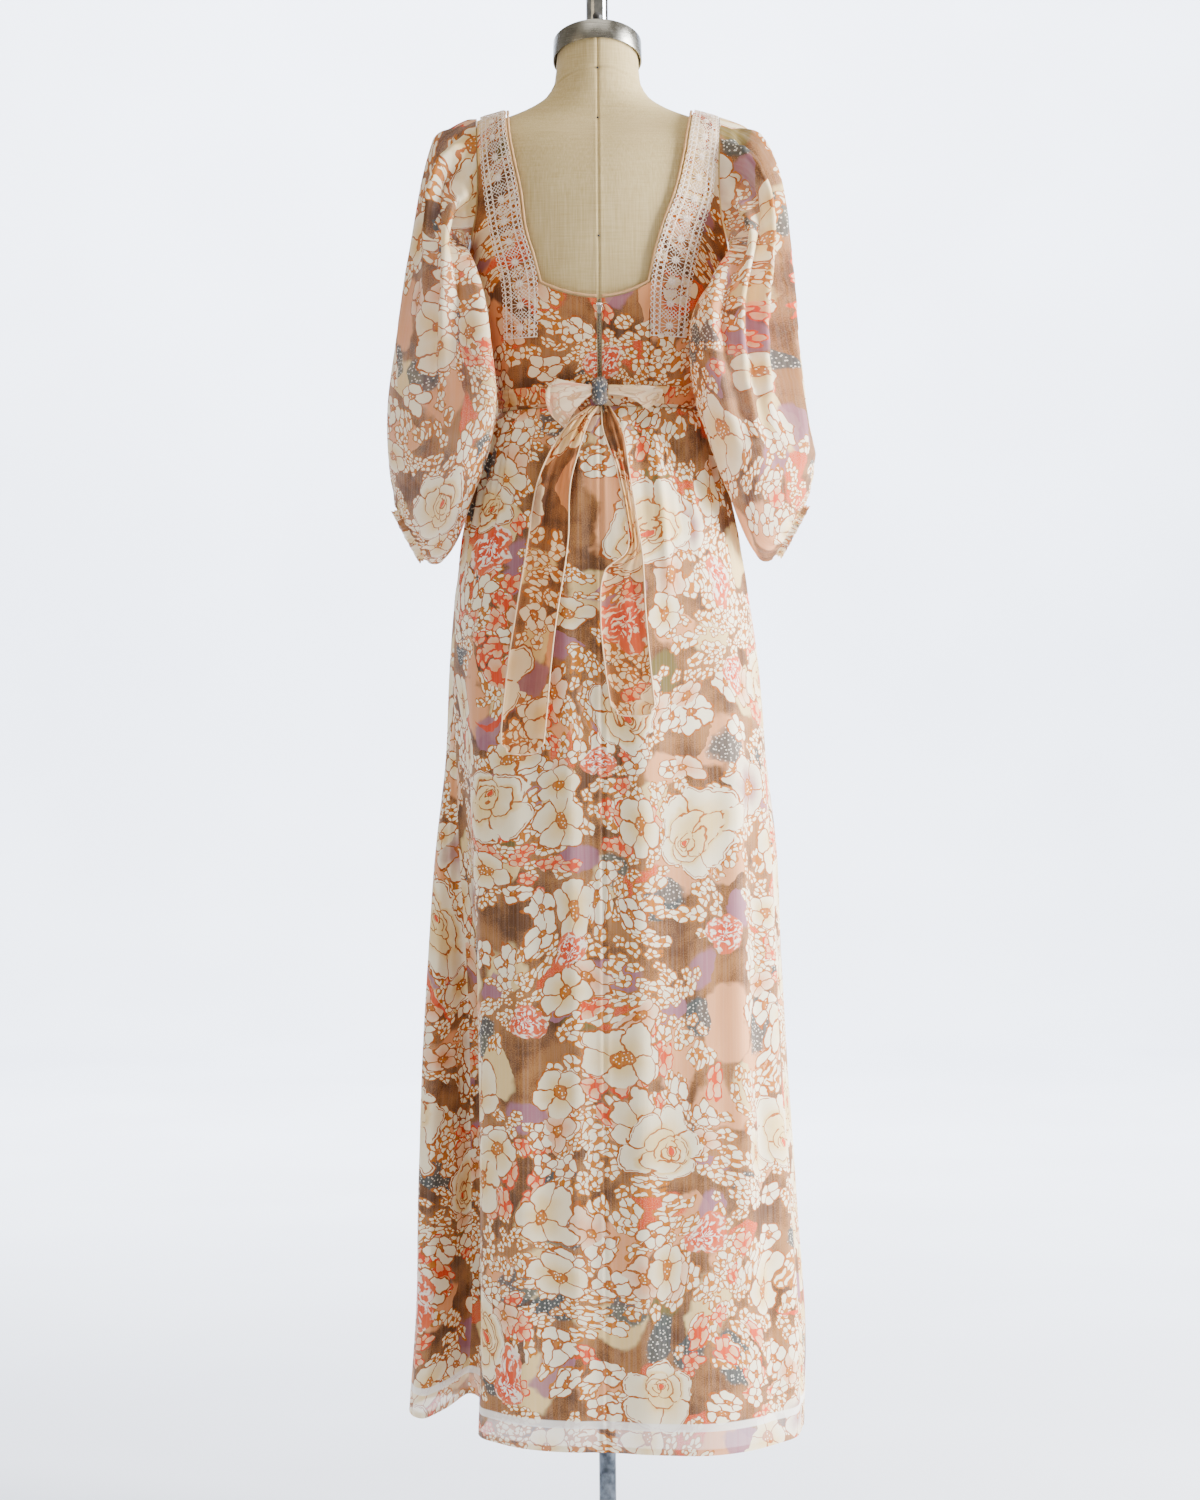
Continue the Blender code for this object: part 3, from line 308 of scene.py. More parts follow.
TABLES = {
    "form": FORM_RINGS,
    "left_edges": LEFT_EDGES,
    "right_edges": RIGHT_EDGES,
    "front_edges": FRONT_EDGES,
    "armhole": ARMHOLE,
    "skirt": SKIRT_RINGS,
    "left_tail": LEFT_TAIL,
    "right_tail": RIGHT_TAIL,
}


def track(name, column, at, key="z"):
    """A column's value at a key, on the smooth curve through a table's rows."""
    keys, values, slopes = table_curve(name, key, column)
    at = np.clip(at, keys[0], keys[-1])
    i = np.clip(np.searchsorted(keys, at) - 1, 0, len(keys) - 2)
    span = keys[i + 1] - keys[i]
    t = (at - keys[i]) / span
    start = (1 + 2 * t) * (1 - t) ** 2 * values[i] + t * (1 - t) ** 2 * span * slopes[i]
    end = t * t * (3 - 2 * t) * values[i + 1] - t * t * (1 - t) * span * slopes[i + 1]
    return start + end


def raised(z, out):
    return z - out * np.clip((z - 1.500) / 0.050, 0, 1)


def form_width(z, out=0.0):
    return track("form", "half_width", raised(z, out)) + out


def form_depth(z, out, face):
    return track("form", "back" if face < 0 else "front", raised(z, out)) + out


def form_y(x, z, out, face):
    """Y of the layer that lies out from the form, on its back (-1) or front (+1) face."""
    share = np.minimum(np.abs(x) / form_width(z, out), 1.0)
    return face * form_depth(z, out, face) * (1 - share**ROUNDNESS) ** (1 / ROUNDNESS)


def shoulder_z(x, out):
    """Height of the shoulder's top line at x, by halving."""
    low, high = np.full(np.shape(x), 1.553), np.full(np.shape(x), 1.630)
    for _ in range(40):
        middle = (low + high) / 2
        under = form_width(middle, out) > np.abs(x)
        low, high = np.where(under, middle, low), np.where(under, high, middle)
    return low


def rounded(angle, half_x, half_y):
    """A point of a rounded oval, at an angle from +X."""
    c, s = np.cos(angle), np.sin(angle)
    power = 2 / ROUNDNESS
    return np.copysign(np.abs(c) ** power, c) * half_x, np.copysign(np.abs(s) ** power, s) * half_y


def hem_at(place):
    """turn, x, y and lift of the hem's closed curve, at places counted in HEM_PLAN's points."""
    count = len(HEM_PLAN)
    start = np.floor(place).astype(int)
    t = place - start
    found = []
    for column in ("turn", "x", "y", "lift"):
        values = np.array([getattr(point, column) for point in HEM_PLAN], float)
        p = []
        for n in (-1, 0, 1, 2):
            near = values[(start + n) % count]
            p.append(near + 360 * np.floor_divide(start + n, count) if column == "turn" else near)
        middle = (p[2] - p[0]) * t + (2 * p[0] - 5 * p[1] + 4 * p[2] - p[3]) * t * t
        found.append(p[1] + (middle + (3 * p[1] - p[0] - 3 * p[2] + p[3]) * t**3) / 2)
    return found


def skirt_points(z, place):
    """The skirt's points at heights (rows) and at places round the hem (columns)."""
    z = np.asarray(z, float)[:, None]
    turn, x, y, lift = (v[None, :] for v in hem_at(np.asarray(place, float)))
    hem = SKIRT_RINGS[-1]
    half = {name: track("skirt", name, z) for name in hem._fields[1:]}
    angle = np.radians(-90 - turn)
    wide = np.where(np.cos(angle) < 0, half["left"], half["right"])
    deep = np.where(np.sin(angle) < 0, half["back"], half["front"])
    oval_x, oval_y = rounded(angle, wide, deep)
    hem_x = x * np.where(x < 0, half["left"] / hem.left, half["right"] / hem.right)
    hem_y = y * np.where(y < 0, half["back"] / hem.back, half["front"] / hem.front)
    rise = lift * np.maximum(0.0, 1 - (z - hem.z) / 0.300)
    out = np.empty(np.broadcast(z, x).shape + (3,))
    out[..., 0] = oval_x + half["fold"] * (hem_x - oval_x)
    out[..., 1] = oval_y + half["fold"] * (hem_y - oval_y)
    out[..., 2] = z + rise
    return out


def skirt_back_y(x, z):
    """Y of the skirt's back at x, for one height, with no gathers."""
    place = np.linspace(-3.0, 3.0, 361)
    ring = skirt_points([z], place)[0]
    order = np.argsort(ring[:, 0])
    return np.interp(x, ring[order, 0], ring[order, 1])


# ------------------------------------------------------------------ small helpers on arrays
def cut_from(uv, spot, side=0):
    """UVs moved to the piece's own spot on the print."""
    middle, step = PRINT_SPOTS[spot]
    return uv + np.array(middle) + side * np.array(step)


def soft_step(t):
    t = np.clip(t, 0, 1)
    return t * t * (3 - 2 * t)


def bump(distance, width):
    return np.exp(-((distance / width) ** 2))


def wander(u, v, seed, waves=7):
    """Soft noise between about -1 and 1 on two coordinates, counted in wavelengths."""
    rng = np.random.default_rng(seed)
    total = np.zeros(np.broadcast(u, v).shape)
    for _ in range(waves):
        way, pace = rng.uniform(0, 2 * math.pi), rng.uniform(0.6, 1.6)
        total += np.sin(2 * math.pi * pace * (u * math.cos(way) + v * math.sin(way)) + rng.uniform(0, 6.3))
    return total / math.sqrt(waves) / 1.2


def lengths(points):
    """Running length along each row of points."""
    steps = np.linalg.norm(np.diff(points, axis=1), axis=2)
    return np.concatenate([np.zeros((len(points), 1)), np.cumsum(steps, axis=1)], axis=1)


def normals(points, closed=False, centre=None):
    """Unit normals of a grid of points, turned to point away from the Z axis or from centre."""
    if closed:
        across = np.roll(points, -1, 1) - np.roll(points, 1, 1)
    else:
        across = np.gradient(points, axis=1)
    found = np.cross(across, np.gradient(points, axis=0))
    found = found / np.maximum(np.linalg.norm(found, axis=2, keepdims=True), 1e-12)
    away = points - centre if centre is not None else points * np.array((1, 1, 0))
    side = np.sign(np.sum(found * away, axis=2, keepdims=True))
    return found * np.where(side == 0, 1, side)


# ------------------------------------------------------------------ meshes
def place_in_scene(name, data):
    obj = bpy.data.objects.new(name, data)
    bpy.context.scene.collection.objects.link(obj)
    return obj


def grid(name, points, uv=None, closed=False, keep=None):
    """A mesh from rows and columns of points. uv is per point, or per corner of each square."""
    rows, columns = points.shape[:2]
    span = columns if closed else columns - 1
    r, c = np.meshgrid(np.arange(rows - 1), np.arange(span), indexing="ij")
    a, b = r * columns + c, r * columns + (c + 1) % columns
    faces = np.stack([a, b, b + columns, a + columns], -1)
    corners = None
    if uv is not None and uv.ndim == 3:
        corners = np.stack([uv[:-1, :span], uv[:-1, 1 : span + 1], uv[1:, 1 : span + 1], uv[1:, :span]], 2)
    elif uv is not None:
        corners = uv
    if keep is not None:
        faces, corners = faces[keep], corners[keep] if corners is not None else None
    faces = faces.reshape(-1, 4)
    mesh = bpy.data.meshes.new(name)
    mesh.from_pydata(points.reshape(-1, 3).tolist(), [], faces.tolist())
    if corners is not None:
        layer = mesh.uv_layers.new(name="cloth")
        layer.data.foreach_set("uv", corners.reshape(-1).astype(np.float32))
    used = np.zeros(rows * columns, bool)
    used[faces.reshape(-1)] = True
    if not used.all():
        rework(mesh, drop_loose)
    mesh.shade_smooth()
    return place_in_scene(name, mesh)


def rework(mesh, change):
    """Edits a mesh by a function of its bmesh."""
    held = bmesh.new()
    held.from_mesh(mesh)
    change(held)
    held.to_mesh(mesh)
    held.free()


def drop_loose(held):
    bmesh.ops.delete(held, geom=[v for v in held.verts if not v.link_faces], context="VERTS")


def weld(held):
    bmesh.ops.remove_doubles(held, verts=held.verts, dist=1e-6)
    bmesh.ops.dissolve_degenerate(held, edges=held.edges, dist=1e-7)
    bmesh.ops.recalc_face_normals(held, faces=held.faces)


def tubes(name, paths, radius, sides=6):
    """One mesh of round tubes along lists of points. radius is one number, or one per path."""
    points, faces = [], []
    turns = [2 * math.pi * n / sides for n in range(sides)]
    for index, path in enumerate(paths):
        path = np.asarray(path, float)
        size = radius[index] if isinstance(radius, (list, tuple)) else radius
        size = np.broadcast_to(size, (len(path),))
        along = np.gradient(path, axis=0)
        along = along / np.maximum(np.linalg.norm(along, axis=1, keepdims=True), 1e-12)
        side = np.cross(along[0], (0.3, 0.2, 0.93))
        first, last = len(points), len(points) + (len(path) - 1) * sides
        for i, way in enumerate(along):
            side = side - way * np.dot(side, way)
            side = side / max(np.linalg.norm(side), 1e-12)
            up = np.cross(way, side)
            points += [path[i] + size[i] * (side * math.cos(a) + up * math.sin(a)) for a in turns]
        for low in range(first, last, sides):
            for n in range(sides):
                m = (n + 1) % sides
                faces.append((low + n, low + m, low + sides + m, low + sides + n))
        faces.append(tuple(reversed(range(first, first + sides))))
        faces.append(tuple(range(last, last + sides)))
    mesh = bpy.data.meshes.new(name)
    mesh.from_pydata([tuple(p) for p in points], [], faces)
    mesh.shade_smooth()
    return place_in_scene(name, mesh)


def lathe(name, profile, steps=96, matrix=None):
    """A turned mesh from (radius, height) points, round the Z axis."""
    turns = [2 * math.pi * n / steps for n in range(steps)]
    points = np.array([[(r * math.cos(a), r * math.sin(a), z) for a in turns] for r, z in profile])
    obj = grid(name, points[:, ::-1], closed=True)
    rework(obj.data, weld)
    obj.data.transform(matrix or Matrix.Identity(4))
    obj.data.set_sharp_from_angle(angle=math.radians(35))
    return obj


def finish_piece(obj, finish, slot, *nodes, body="form"):
    obj.data.materials.clear()
    obj.data.materials.append(finish)
    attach(obj, body)
    if nodes:
        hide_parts(*nodes)
    return obj


# ------------------------------------------------------------------ node trees
def linear(code):
    """A colour's linear values from its six hexadecimal digits."""
    values = [int(code[i : i + 2], 16) / 255 for i in (1, 3, 5)]
    return [v / 12.92 if v <= 0.04045 else ((v + 0.055) / 1.055) ** 2.4 for v in values] + [1.0]


class Term:
    """An output of a node, to be used in sums."""

    def __init__(self, graph, socket):
        self.graph = graph
        self.socket = socket

    def __add__(self, other):
        return self.graph.math("ADD", self, other)

    def __sub__(self, other):
        return self.graph.math("SUBTRACT", self, other)

    def __rsub__(self, other):
        return self.graph.math("SUBTRACT", other, self)

    def __mul__(self, other):
        return self.graph.math("MULTIPLY", self, other)

    def __truediv__(self, other):
        return self.graph.math("DIVIDE", self, other)

    def __pow__(self, other):
        return self.graph.math("POWER", self, other)

    def __lt__(self, other):
        return self.graph.math("LESS_THAN", self, other)

    def __gt__(self, other):
        return self.graph.math("GREATER_THAN", self, other)

    __radd__ = __add__
    __rmul__ = __mul__


class Graph:
    """Short ways to add nodes to one tree."""

    def __init__(self, tree):
        self.tree = tree

    def feed(self, socket, value):
        if isinstance(value, Term):
            self.tree.links.new(value.socket, socket)
        elif value is not None:
            socket.default_value = value

    def node(self, kind, inputs=None, **settings):
        made = self.tree.nodes.new("ShaderNode" + kind)
        for key, value in settings.items():
            setattr(made, key, value)
        for key, value in (inputs or {}).items():
            self.feed(made.inputs[key], value)
        return made

    def term(self, node, output=0):
        return Term(self, node.outputs[output])

    def math(self, operation, *values):
        node = self.node("Math", operation=operation)
        for socket, value in zip(node.inputs, values):
            self.feed(socket, value)
        return self.term(node)

    def vector(self, operation, first, second=None, scale=None):
        node = self.node("VectorMath", operation=operation)
        self.feed(node.inputs[0], first)
        if second is not None:
            self.feed(node.inputs[1], second)
        if scale is not None:
            self.feed(node.inputs["Scale"], scale)
        return self.term(node, "Vector")

    def mix(self, share, first, second, blend="MIX"):
        node = self.node("Mix", data_type="RGBA", blend_type=blend, clamp_factor=True)
        self.feed(node.inputs["Factor"], share)
        self.feed(node.inputs["A"], first)
        self.feed(node.inputs["B"], second)
        return Term(self, node.outputs["Result"])

    def step(self, value, low, high, to_low=0.0, to_high=1.0):
        """Turns value from low to high into to_low to to_high, softly and clamped."""
        node = self.node("MapRange", interpolation_type="SMOOTHSTEP")
        given = {"Value": value, "From Min": low, "From Max": high, "To Min": to_low, "To Max": to_high}
        for key, item in given.items():
            self.feed(node.inputs[key], item)
        return self.term(node)

    def noise(self, place, scale, detail=2.0, rough=0.5, dimensions="2D"):
        inputs = {"Vector": place, "Scale": scale, "Detail": detail, "Roughness": rough}
        node = self.node("TexNoise", inputs, noise_dimensions=dimensions)
        return self.term(node, "Fac"), self.term(node, "Color")

    def cells(self, place, scale, jitter=1.0):
        inputs = {"Vector": place, "Scale": scale, "Randomness": jitter}
        return self.node("TexVoronoi", inputs, voronoi_dimensions="2D", feature="F1")

    def split(self, colour):
        node = self.node("SeparateColor", {"Color": colour})
        return [self.term(node, n) for n in range(3)]

    def parts(self, vector):
        node = self.node("SeparateXYZ", {"Vector": vector})
        return [self.term(node, n) for n in range(3)]

    def join(self, x, y, z=0.0):
        return self.term(self.node("CombineXYZ", {"X": x, "Y": y, "Z": z}))

    def own_place(self):
        """The piece's own coordinates in metres."""
        return self.term(self.node("TexCoord"), "Object")

    def longest(self, *values):
        """The greatest of some terms."""
        found = values[0]
        for value in values[1:]:
            found = self.math("MAXIMUM", found, value)
        return found

    def bumps(self, height, strength, distance):
        """A bumped normal."""
        return self.term(self.node("Bump", {"Strength": strength, "Distance": distance, "Height": height}))

    def body(self, tint, roughness, normal=None, **more):
        """A Principled shader; more names other sockets, with _ for each space."""
        inputs = {"Base Color": tint, "Roughness": roughness, "Normal": normal}
        inputs.update({key.replace("_", " "): value for key, value in more.items()})
        return self.node("BsdfPrincipled", inputs)

    def blend(self, share, first, second):
        """A mix of two shaders."""
        return self.node("MixShader", {0: share, 1: self.term(first), 2: self.term(second)})

    def show(self, shader, output="OutputMaterial"):
        """Puts a shader on the tree's output."""
        self.feed(self.node(output).inputs["Surface"], self.term(shader))


def new_group(name, inputs, outputs):
    """A node group with named sockets; gives its Graph, its inputs as terms and its output node."""
    tree = bpy.data.node_groups.new(name, "ShaderNodeTree")
    for way, sockets in (("INPUT", inputs), ("OUTPUT", outputs)):
        for label, kind in sockets.items():
            tree.interface.new_socket(label, in_out=way, socket_type="NodeSocket" + kind)
    graph = Graph(tree)
    start = tree.nodes.new("NodeGroupInput")
    given = {label: Term(graph, start.outputs[label]) for label in inputs}
    return graph, given, tree.nodes.new("NodeGroupOutput")


def close_group(graph, out, *results):
    for socket, value in zip(out.inputs, results):
        graph.feed(socket, value)
    return graph.tree


def use_group(graph, group, inputs):
    node = graph.node("Group", node_tree=group)
    for key, value in inputs.items():
        graph.feed(node.inputs[key], value)
    return {output.name: Term(graph, output) for output in node.outputs}


# ------------------------------------------------------------------ the printed flowers
FLOWER_SIZES = ("Spacing", "Radius", "Petals", "Notch", "Chance", "Crowd", "Ink", "Jitter")
FLOWER_INPUTS = {"Place": "Vector", **{label: "Float" for label in FLOWER_SIZES}}
FLOWER_OUTPUTS = {label: "Float" for label in ("Inside", "Line", "Heart", "Depth", "Tone", "Angle")}
TURN = 6.28


def flower_frame(graph, given):
    """What every flower needs: its own place, angle, size, tone and whether it is there."""
    cell = graph.cells(given["Place"], graph.math("DIVIDE", 1, given["Spacing"]), given["Jitter"])
    centre = graph.term(cell, "Position")
    tone, turn, chance = graph.split(graph.term(cell, "Color"))
    away = graph.vector("SUBTRACT", given["Place"], centre)
    x, y, _ = graph.parts(away)
    crowd, _ = graph.noise(centre, 9.0, 1.0)
    there = (chance < given["Chance"]) * (crowd > given["Crowd"])
    reach = given["Radius"] * (tone * 0.45 + 0.72)
    return x, y, tone, turn, there, reach


def lobed(graph, angle, reach, petals, notch, phase):
    """The edge of a flower of round petals, and how near the angle is to a notch."""
    wave = graph.math("ABSOLUTE", graph.math("COSINE", (angle + phase) * petals * 0.5))
    return reach * (wave**0.55 * notch + 1.0 - notch), wave


def blossom_group():
    """Simple flowers of a few round petals with a dotted middle."""
    graph, given, out = new_group("blossoms", FLOWER_INPUTS, FLOWER_OUTPUTS)
    x, y, tone, turn, there, reach = flower_frame(graph, given)
    radius = graph.math("SQRT", x * x + y * y)
    angle = graph.math("ARCTAN2", y, x)
    edge, wave = lobed(graph, angle, reach, given["Petals"], given["Notch"], turn * TURN)
    ink = given["Ink"]
    inside = (radius < edge + ink) * there
    rim = graph.math("ABSOLUTE", radius - edge) < ink
    split = (radius * wave / given["Petals"] * 2.0 < ink * 0.9) * (radius > reach * 0.22)
    heart = radius < reach * 0.24
    ring = graph.math("ABSOLUTE", radius - reach * 0.24) < ink
    line = graph.longest(rim, split, ring)
    return close_group(graph, out, inside, line * inside, heart * inside, radius / edge, tone, angle)


ROSE_CURLS = table(
    "scale petals notch shift lean_x lean_y",
    (0.60, 3.0, 0.34, 1.1, 0.12, 0.05),
    (0.40, 2.0, 0.40, 2.9, 0.20, -0.04),
    (0.25, 3.0, 0.34, 0.4, 0.22, 0.02),
    (0.13, 2.0, 0.36, 3.1, 0.25, 0.03),
)


def rose_group():
    """Full flowers: a few wide petals round a bud of curled ones, drawn with a broken line."""
    graph, given, out = new_group("roses", FLOWER_INPUTS, FLOWER_OUTPUTS)
    x, y, tone, turn, there, reach = flower_frame(graph, given)
    phase = turn * TURN
    cos, sin = graph.math("COSINE", phase), graph.math("SINE", phase)
    along, across = x * cos + y * sin, (y * cos - x * sin) * (tone * 0.35 + 1.0)
    radius = graph.math("SQRT", along * along + across * across)
    angle = graph.math("ARCTAN2", across, along)
    ink = given["Ink"]
    outer, wave = lobed(graph, angle, reach, given["Petals"], given["Notch"], tone * 9.0)
    line = graph.math("ABSOLUTE", radius - outer) < ink
    double = (graph.math("ABSOLUTE", radius - outer * 0.94) < ink * 0.7) * (wave > 0.45)
    line = graph.longest(line, double)
    before, where, near, petals = outer, radius, wave, given["Petals"]
    fresh = radius * 0.0
    for curl in ROSE_CURLS:
        inner_x, inner_y = along - reach * curl.lean_x, across - reach * curl.lean_y
        inner = graph.math("SQRT", inner_x * inner_x + inner_y * inner_y)
        angle = graph.math("ARCTAN2", inner_y, inner_x)
        edge, next_wave = lobed(graph, angle, reach * curl.scale, curl.petals, curl.notch, phase + curl.shift)
        split = (where * near / petals * 1.6 < ink) * (inner > edge) * (where < before)
        line = graph.longest(line, graph.math("ABSOLUTE", inner - edge) < ink, split)
        fresh = graph.longest(fresh, graph.step(inner / edge, 1.35, 1.0) * (inner > edge))
        where, near, before, petals = inner, next_wave, edge, curl.petals
    gaps, _ = graph.noise(given["Place"], 75.0, 1.0)
    line = line * (gaps > 0.36)
    heart = (inner < reach * 0.09) * there
    inside = (radius < outer + ink) * there
    depth = graph.math("MINIMUM", radius / outer, 1.0 - fresh * 0.8)
    angle = graph.math("ARCTAN2", across, along)
    return close_group(graph, out, inside, line * inside, heart, depth, tone, angle)


def stroke_group():
    """Long curved leaves: thin crescents."""
    graph, given, out = new_group("strokes", FLOWER_INPUTS, FLOWER_OUTPUTS)
    x, y, tone, turn, there, reach = flower_frame(graph, given)
    way = turn * TURN
    cos, sin = graph.math("COSINE", way), graph.math("SINE", way)
    along, across = x * cos + y * sin, y * cos - x * sin
    share = along / reach
    bend = across - share * share * share * reach * 0.30 + share * share * reach * 0.22
    width = (1.0 - share * share) * given["Ink"]
    inside = (graph.math("ABSOLUTE", bend) < width) * there
    return close_group(graph, out, inside, inside, inside, share, tone, way)


CREAM = linear("#FFF5D8")
CREAM_SHADE = linear("#F0D394")
OCHRE = linear("#A9590E")
GOLD = linear("#BD6F17")
TAN_LIGHT = linear("#A57243")
TAN_DARK = linear("#5B391F")
PEACH = linear("#EDA673")
CORAL = linear("#D9430F")
SLATE = linear("#464F50")
LILAC = linear("#A06C7E")
OLIVE = linear("#6E6130")
WHITE = linear("#FFFBEF")


# Sizes are metres of cloth. x and y shift each layer's cells, so that no two layers line up
FLOWERS = table(
    "name group x y spacing radius petals notch chance crowd ink jitter",
    ("far", "blossoms", 1.10, 0.35, 0.0150, 0.0080, 5.0, 0.40, 0.95, 0.500, 0.00080, 0.9),
    ("near", "blossoms", 2.73, 1.91, 0.0180, 0.0096, 5.0, 0.36, 0.92, 0.535, 0.00080, 0.9),
    ("small coral", "blossoms", 9.73, 5.91, 0.0220, 0.0110, 5.0, 0.42, 0.70, 0.610, 0.00090, 0.9),
    ("middle", "blossoms", 0.47, 3.12, 0.0380, 0.0170, 5.0, 0.32, 0.85, 0.505, 0.00082, 0.8),
    ("wide", "blossoms", 5.61, 2.27, 0.0760, 0.0290, 5.0, 0.27, 0.62, 0.40, 0.00082, 0.8),
    ("coral", "blossoms", 7.33, 4.61, 0.1700, 0.0240, 3.0, 0.34, 0.62, 0.0, 0.0007, 0.9),
    ("large rose", "roses", 3.37, 6.15, 0.2050, 0.0560, 5.0, 0.26, 0.74, 0.0, 0.00078, 0.7),
    ("rose", "roses", 6.91, 1.43, 0.1900, 0.0460, 6.0, 0.24, 0.55, 0.0, 0.00078, 0.9),
    ("leaf", "strokes", 8.11, 2.93, 0.2300, 0.0450, 5.0, 0.25, 0.50, 0.0, 0.0030, 0.9),
)
DOT_PITCH = 0.0040


def print_group():
    """The whole print, from its watercolour ground up to the large flowers, in metres of cloth."""
    graph, given, out = new_group("flower_print", {"Cloth": "Vector"}, {"Color": "Color"})
    groups = {"blossoms": blossom_group(), "roses": rose_group(), "strokes": stroke_group()}
    cloth = given["Cloth"]

    # the drawing wavers a little, in wide and in small swings
    bent = cloth
    for scale, detail, swing in ((8.0, 1.0, 0.066), (60.0, 2.0, 0.0105)):
        drift = graph.vector("SUBTRACT", graph.noise(cloth, scale, detail)[1], (0.5, 0.5, 0.5))
        bent = graph.vector("ADD", bent, graph.vector("SCALE", drift, scale=swing))

    def shifted(x, y):
        return graph.vector("ADD", bent, (x, y, 0.0))

    def petals(colour, name, fill, ink, heart, shade=0.5):
        flower = drawn[name]
        tone = graph.mix(graph.step(flower["Depth"], 0.25, 0.95) * shade, fill, CREAM)
        colour = graph.mix(flower["Inside"], colour, tone)
        colour = graph.mix(flower["Heart"], colour, heart)
        return graph.mix(flower["Line"], colour, ink)

    drawn = {}
    for row in FLOWERS:
        sizes = {label: getattr(row, label.lower()) for label in FLOWER_SIZES}
        drawn[row.name] = use_group(graph, groups[row.group], {"Place": shifted(row.x, row.y), **sizes})

    # ground: sprayed browns with a fine grain
    wash, _ = graph.noise(cloth, 20.0, 3.0, 0.6)
    grain, _ = graph.noise(cloth, 900.0, 1.0)
    colour = graph.mix(graph.step(wash + (grain - 0.5) * 0.5, 0.30, 0.70), TAN_DARK, TAN_LIGHT)

    # patches of other colours, each tint on its share of one layer's cells
    dots = graph.term(graph.cells(cloth, 1 / DOT_PITCH), "Distance") < 0.20
    slate = graph.mix(dots * 0.75, SLATE, WHITE)
    fleck = graph.mix(graph.step(grain, 0.52, 0.62) * 0.5, CORAL, PEACH)
    for x, y, spacing, tints in (
        (0.31, 0.77, 0.058, ((0.00, 0.26, PEACH), (0.26, 0.42, CREAM_SHADE), (0.42, 0.45, OLIVE))),
        (3.83, 2.19, 0.046, ((0.00, 0.09, LILAC), (0.09, 0.23, slate), (0.23, 0.36, fleck))),
    ):
        patch = graph.cells(shifted(x, y), 1 / spacing, 0.95)
        pick, _, _ = graph.split(graph.term(patch, "Color"))
        edge = graph.step(graph.term(patch, "Distance") + (wash - 0.5) * 0.5, 0.52, 0.40)
        for low, high, tint in tints:
            colour = graph.mix((pick > low) * (pick < high) * edge * 0.9, colour, tint)

    # small flowers, then the middling ones, some of them peach or lilac
    gilt = graph.mix(dots, GOLD, CREAM)
    colour = petals(colour, "far", CREAM, GOLD, GOLD)
    colour = petals(colour, "near", CREAM, GOLD, GOLD)
    colour = petals(colour, "small coral", PEACH, CORAL, CORAL, 0.3)
    fill = graph.mix((drawn["middle"]["Tone"] > 0.80) * 0.85, CREAM, PEACH)
    colour = petals(colour, "middle", fill, OCHRE, gilt)
    fill = graph.mix((drawn["wide"]["Tone"] > 0.86) * 0.8, CREAM_SHADE, LILAC)
    colour = petals(colour, "wide", fill, OCHRE, gilt, 0.8)

    # coral flowers of pointed petals, brushed with white
    coral = drawn["coral"]
    along_petals = graph.join(coral["Depth"] * 3.0, coral["Angle"] * 1.6, coral["Tone"] * 9.0)
    brush, _ = graph.noise(along_petals, 1.7, dimensions="3D")
    streak = graph.mix(graph.step(brush, 0.50, 0.58), CORAL, WHITE)
    streak = graph.mix(graph.step(coral["Depth"], 0.3, 1.0) * 0.25, streak, PEACH)
    colour = graph.mix(coral["Inside"], colour, streak)

    # roses and leaves on top
    colour = petals(colour, "large rose", CREAM_SHADE, OCHRE, CORAL, 0.9)
    colour = petals(colour, "rose", CREAM_SHADE, OCHRE, CORAL, 0.9)
    colour = graph.mix(drawn["leaf"]["Inside"] * 0.9, colour, CORAL)
    return close_group(graph, out, colour)


# ------------------------------------------------------------------ materials
def new_material(name):
    made = bpy.data.materials.new(name)
    made.use_nodes = True
    made.node_tree.nodes.clear()
    return made, Graph(made.node_tree)


def weave(graph, pitch, strength):
    """The bump of a plain weave with slubs and fine wrinkles, and the cloth's own metres."""
    cloth = graph.term(graph.node("UVMap", uv_map="cloth"))
    x, y, _ = graph.parts(cloth)
    turn = 2 * math.pi / pitch
    thread = graph.math("SINE", x * turn) * graph.math("SINE", y * turn)
    slub, _ = graph.noise(graph.join(x, y * 0.06), 900.0)
    wrinkle, _ = graph.noise(graph.join(x, y * 0.22), 60.0, 3.0)
    return graph.bumps(thread * 0.35 + slub * 1.2 + wrinkle * 5.0, strength, 0.0002), cloth


# painted light: a near-white line on the skirt's print stands in for the lit lining hem showing through the
# chiffon
LINE_RISE = 0.0037  # the white line's middle above the lining's hem
HEM_OPEN = 0.17  # the see-through share below the lining


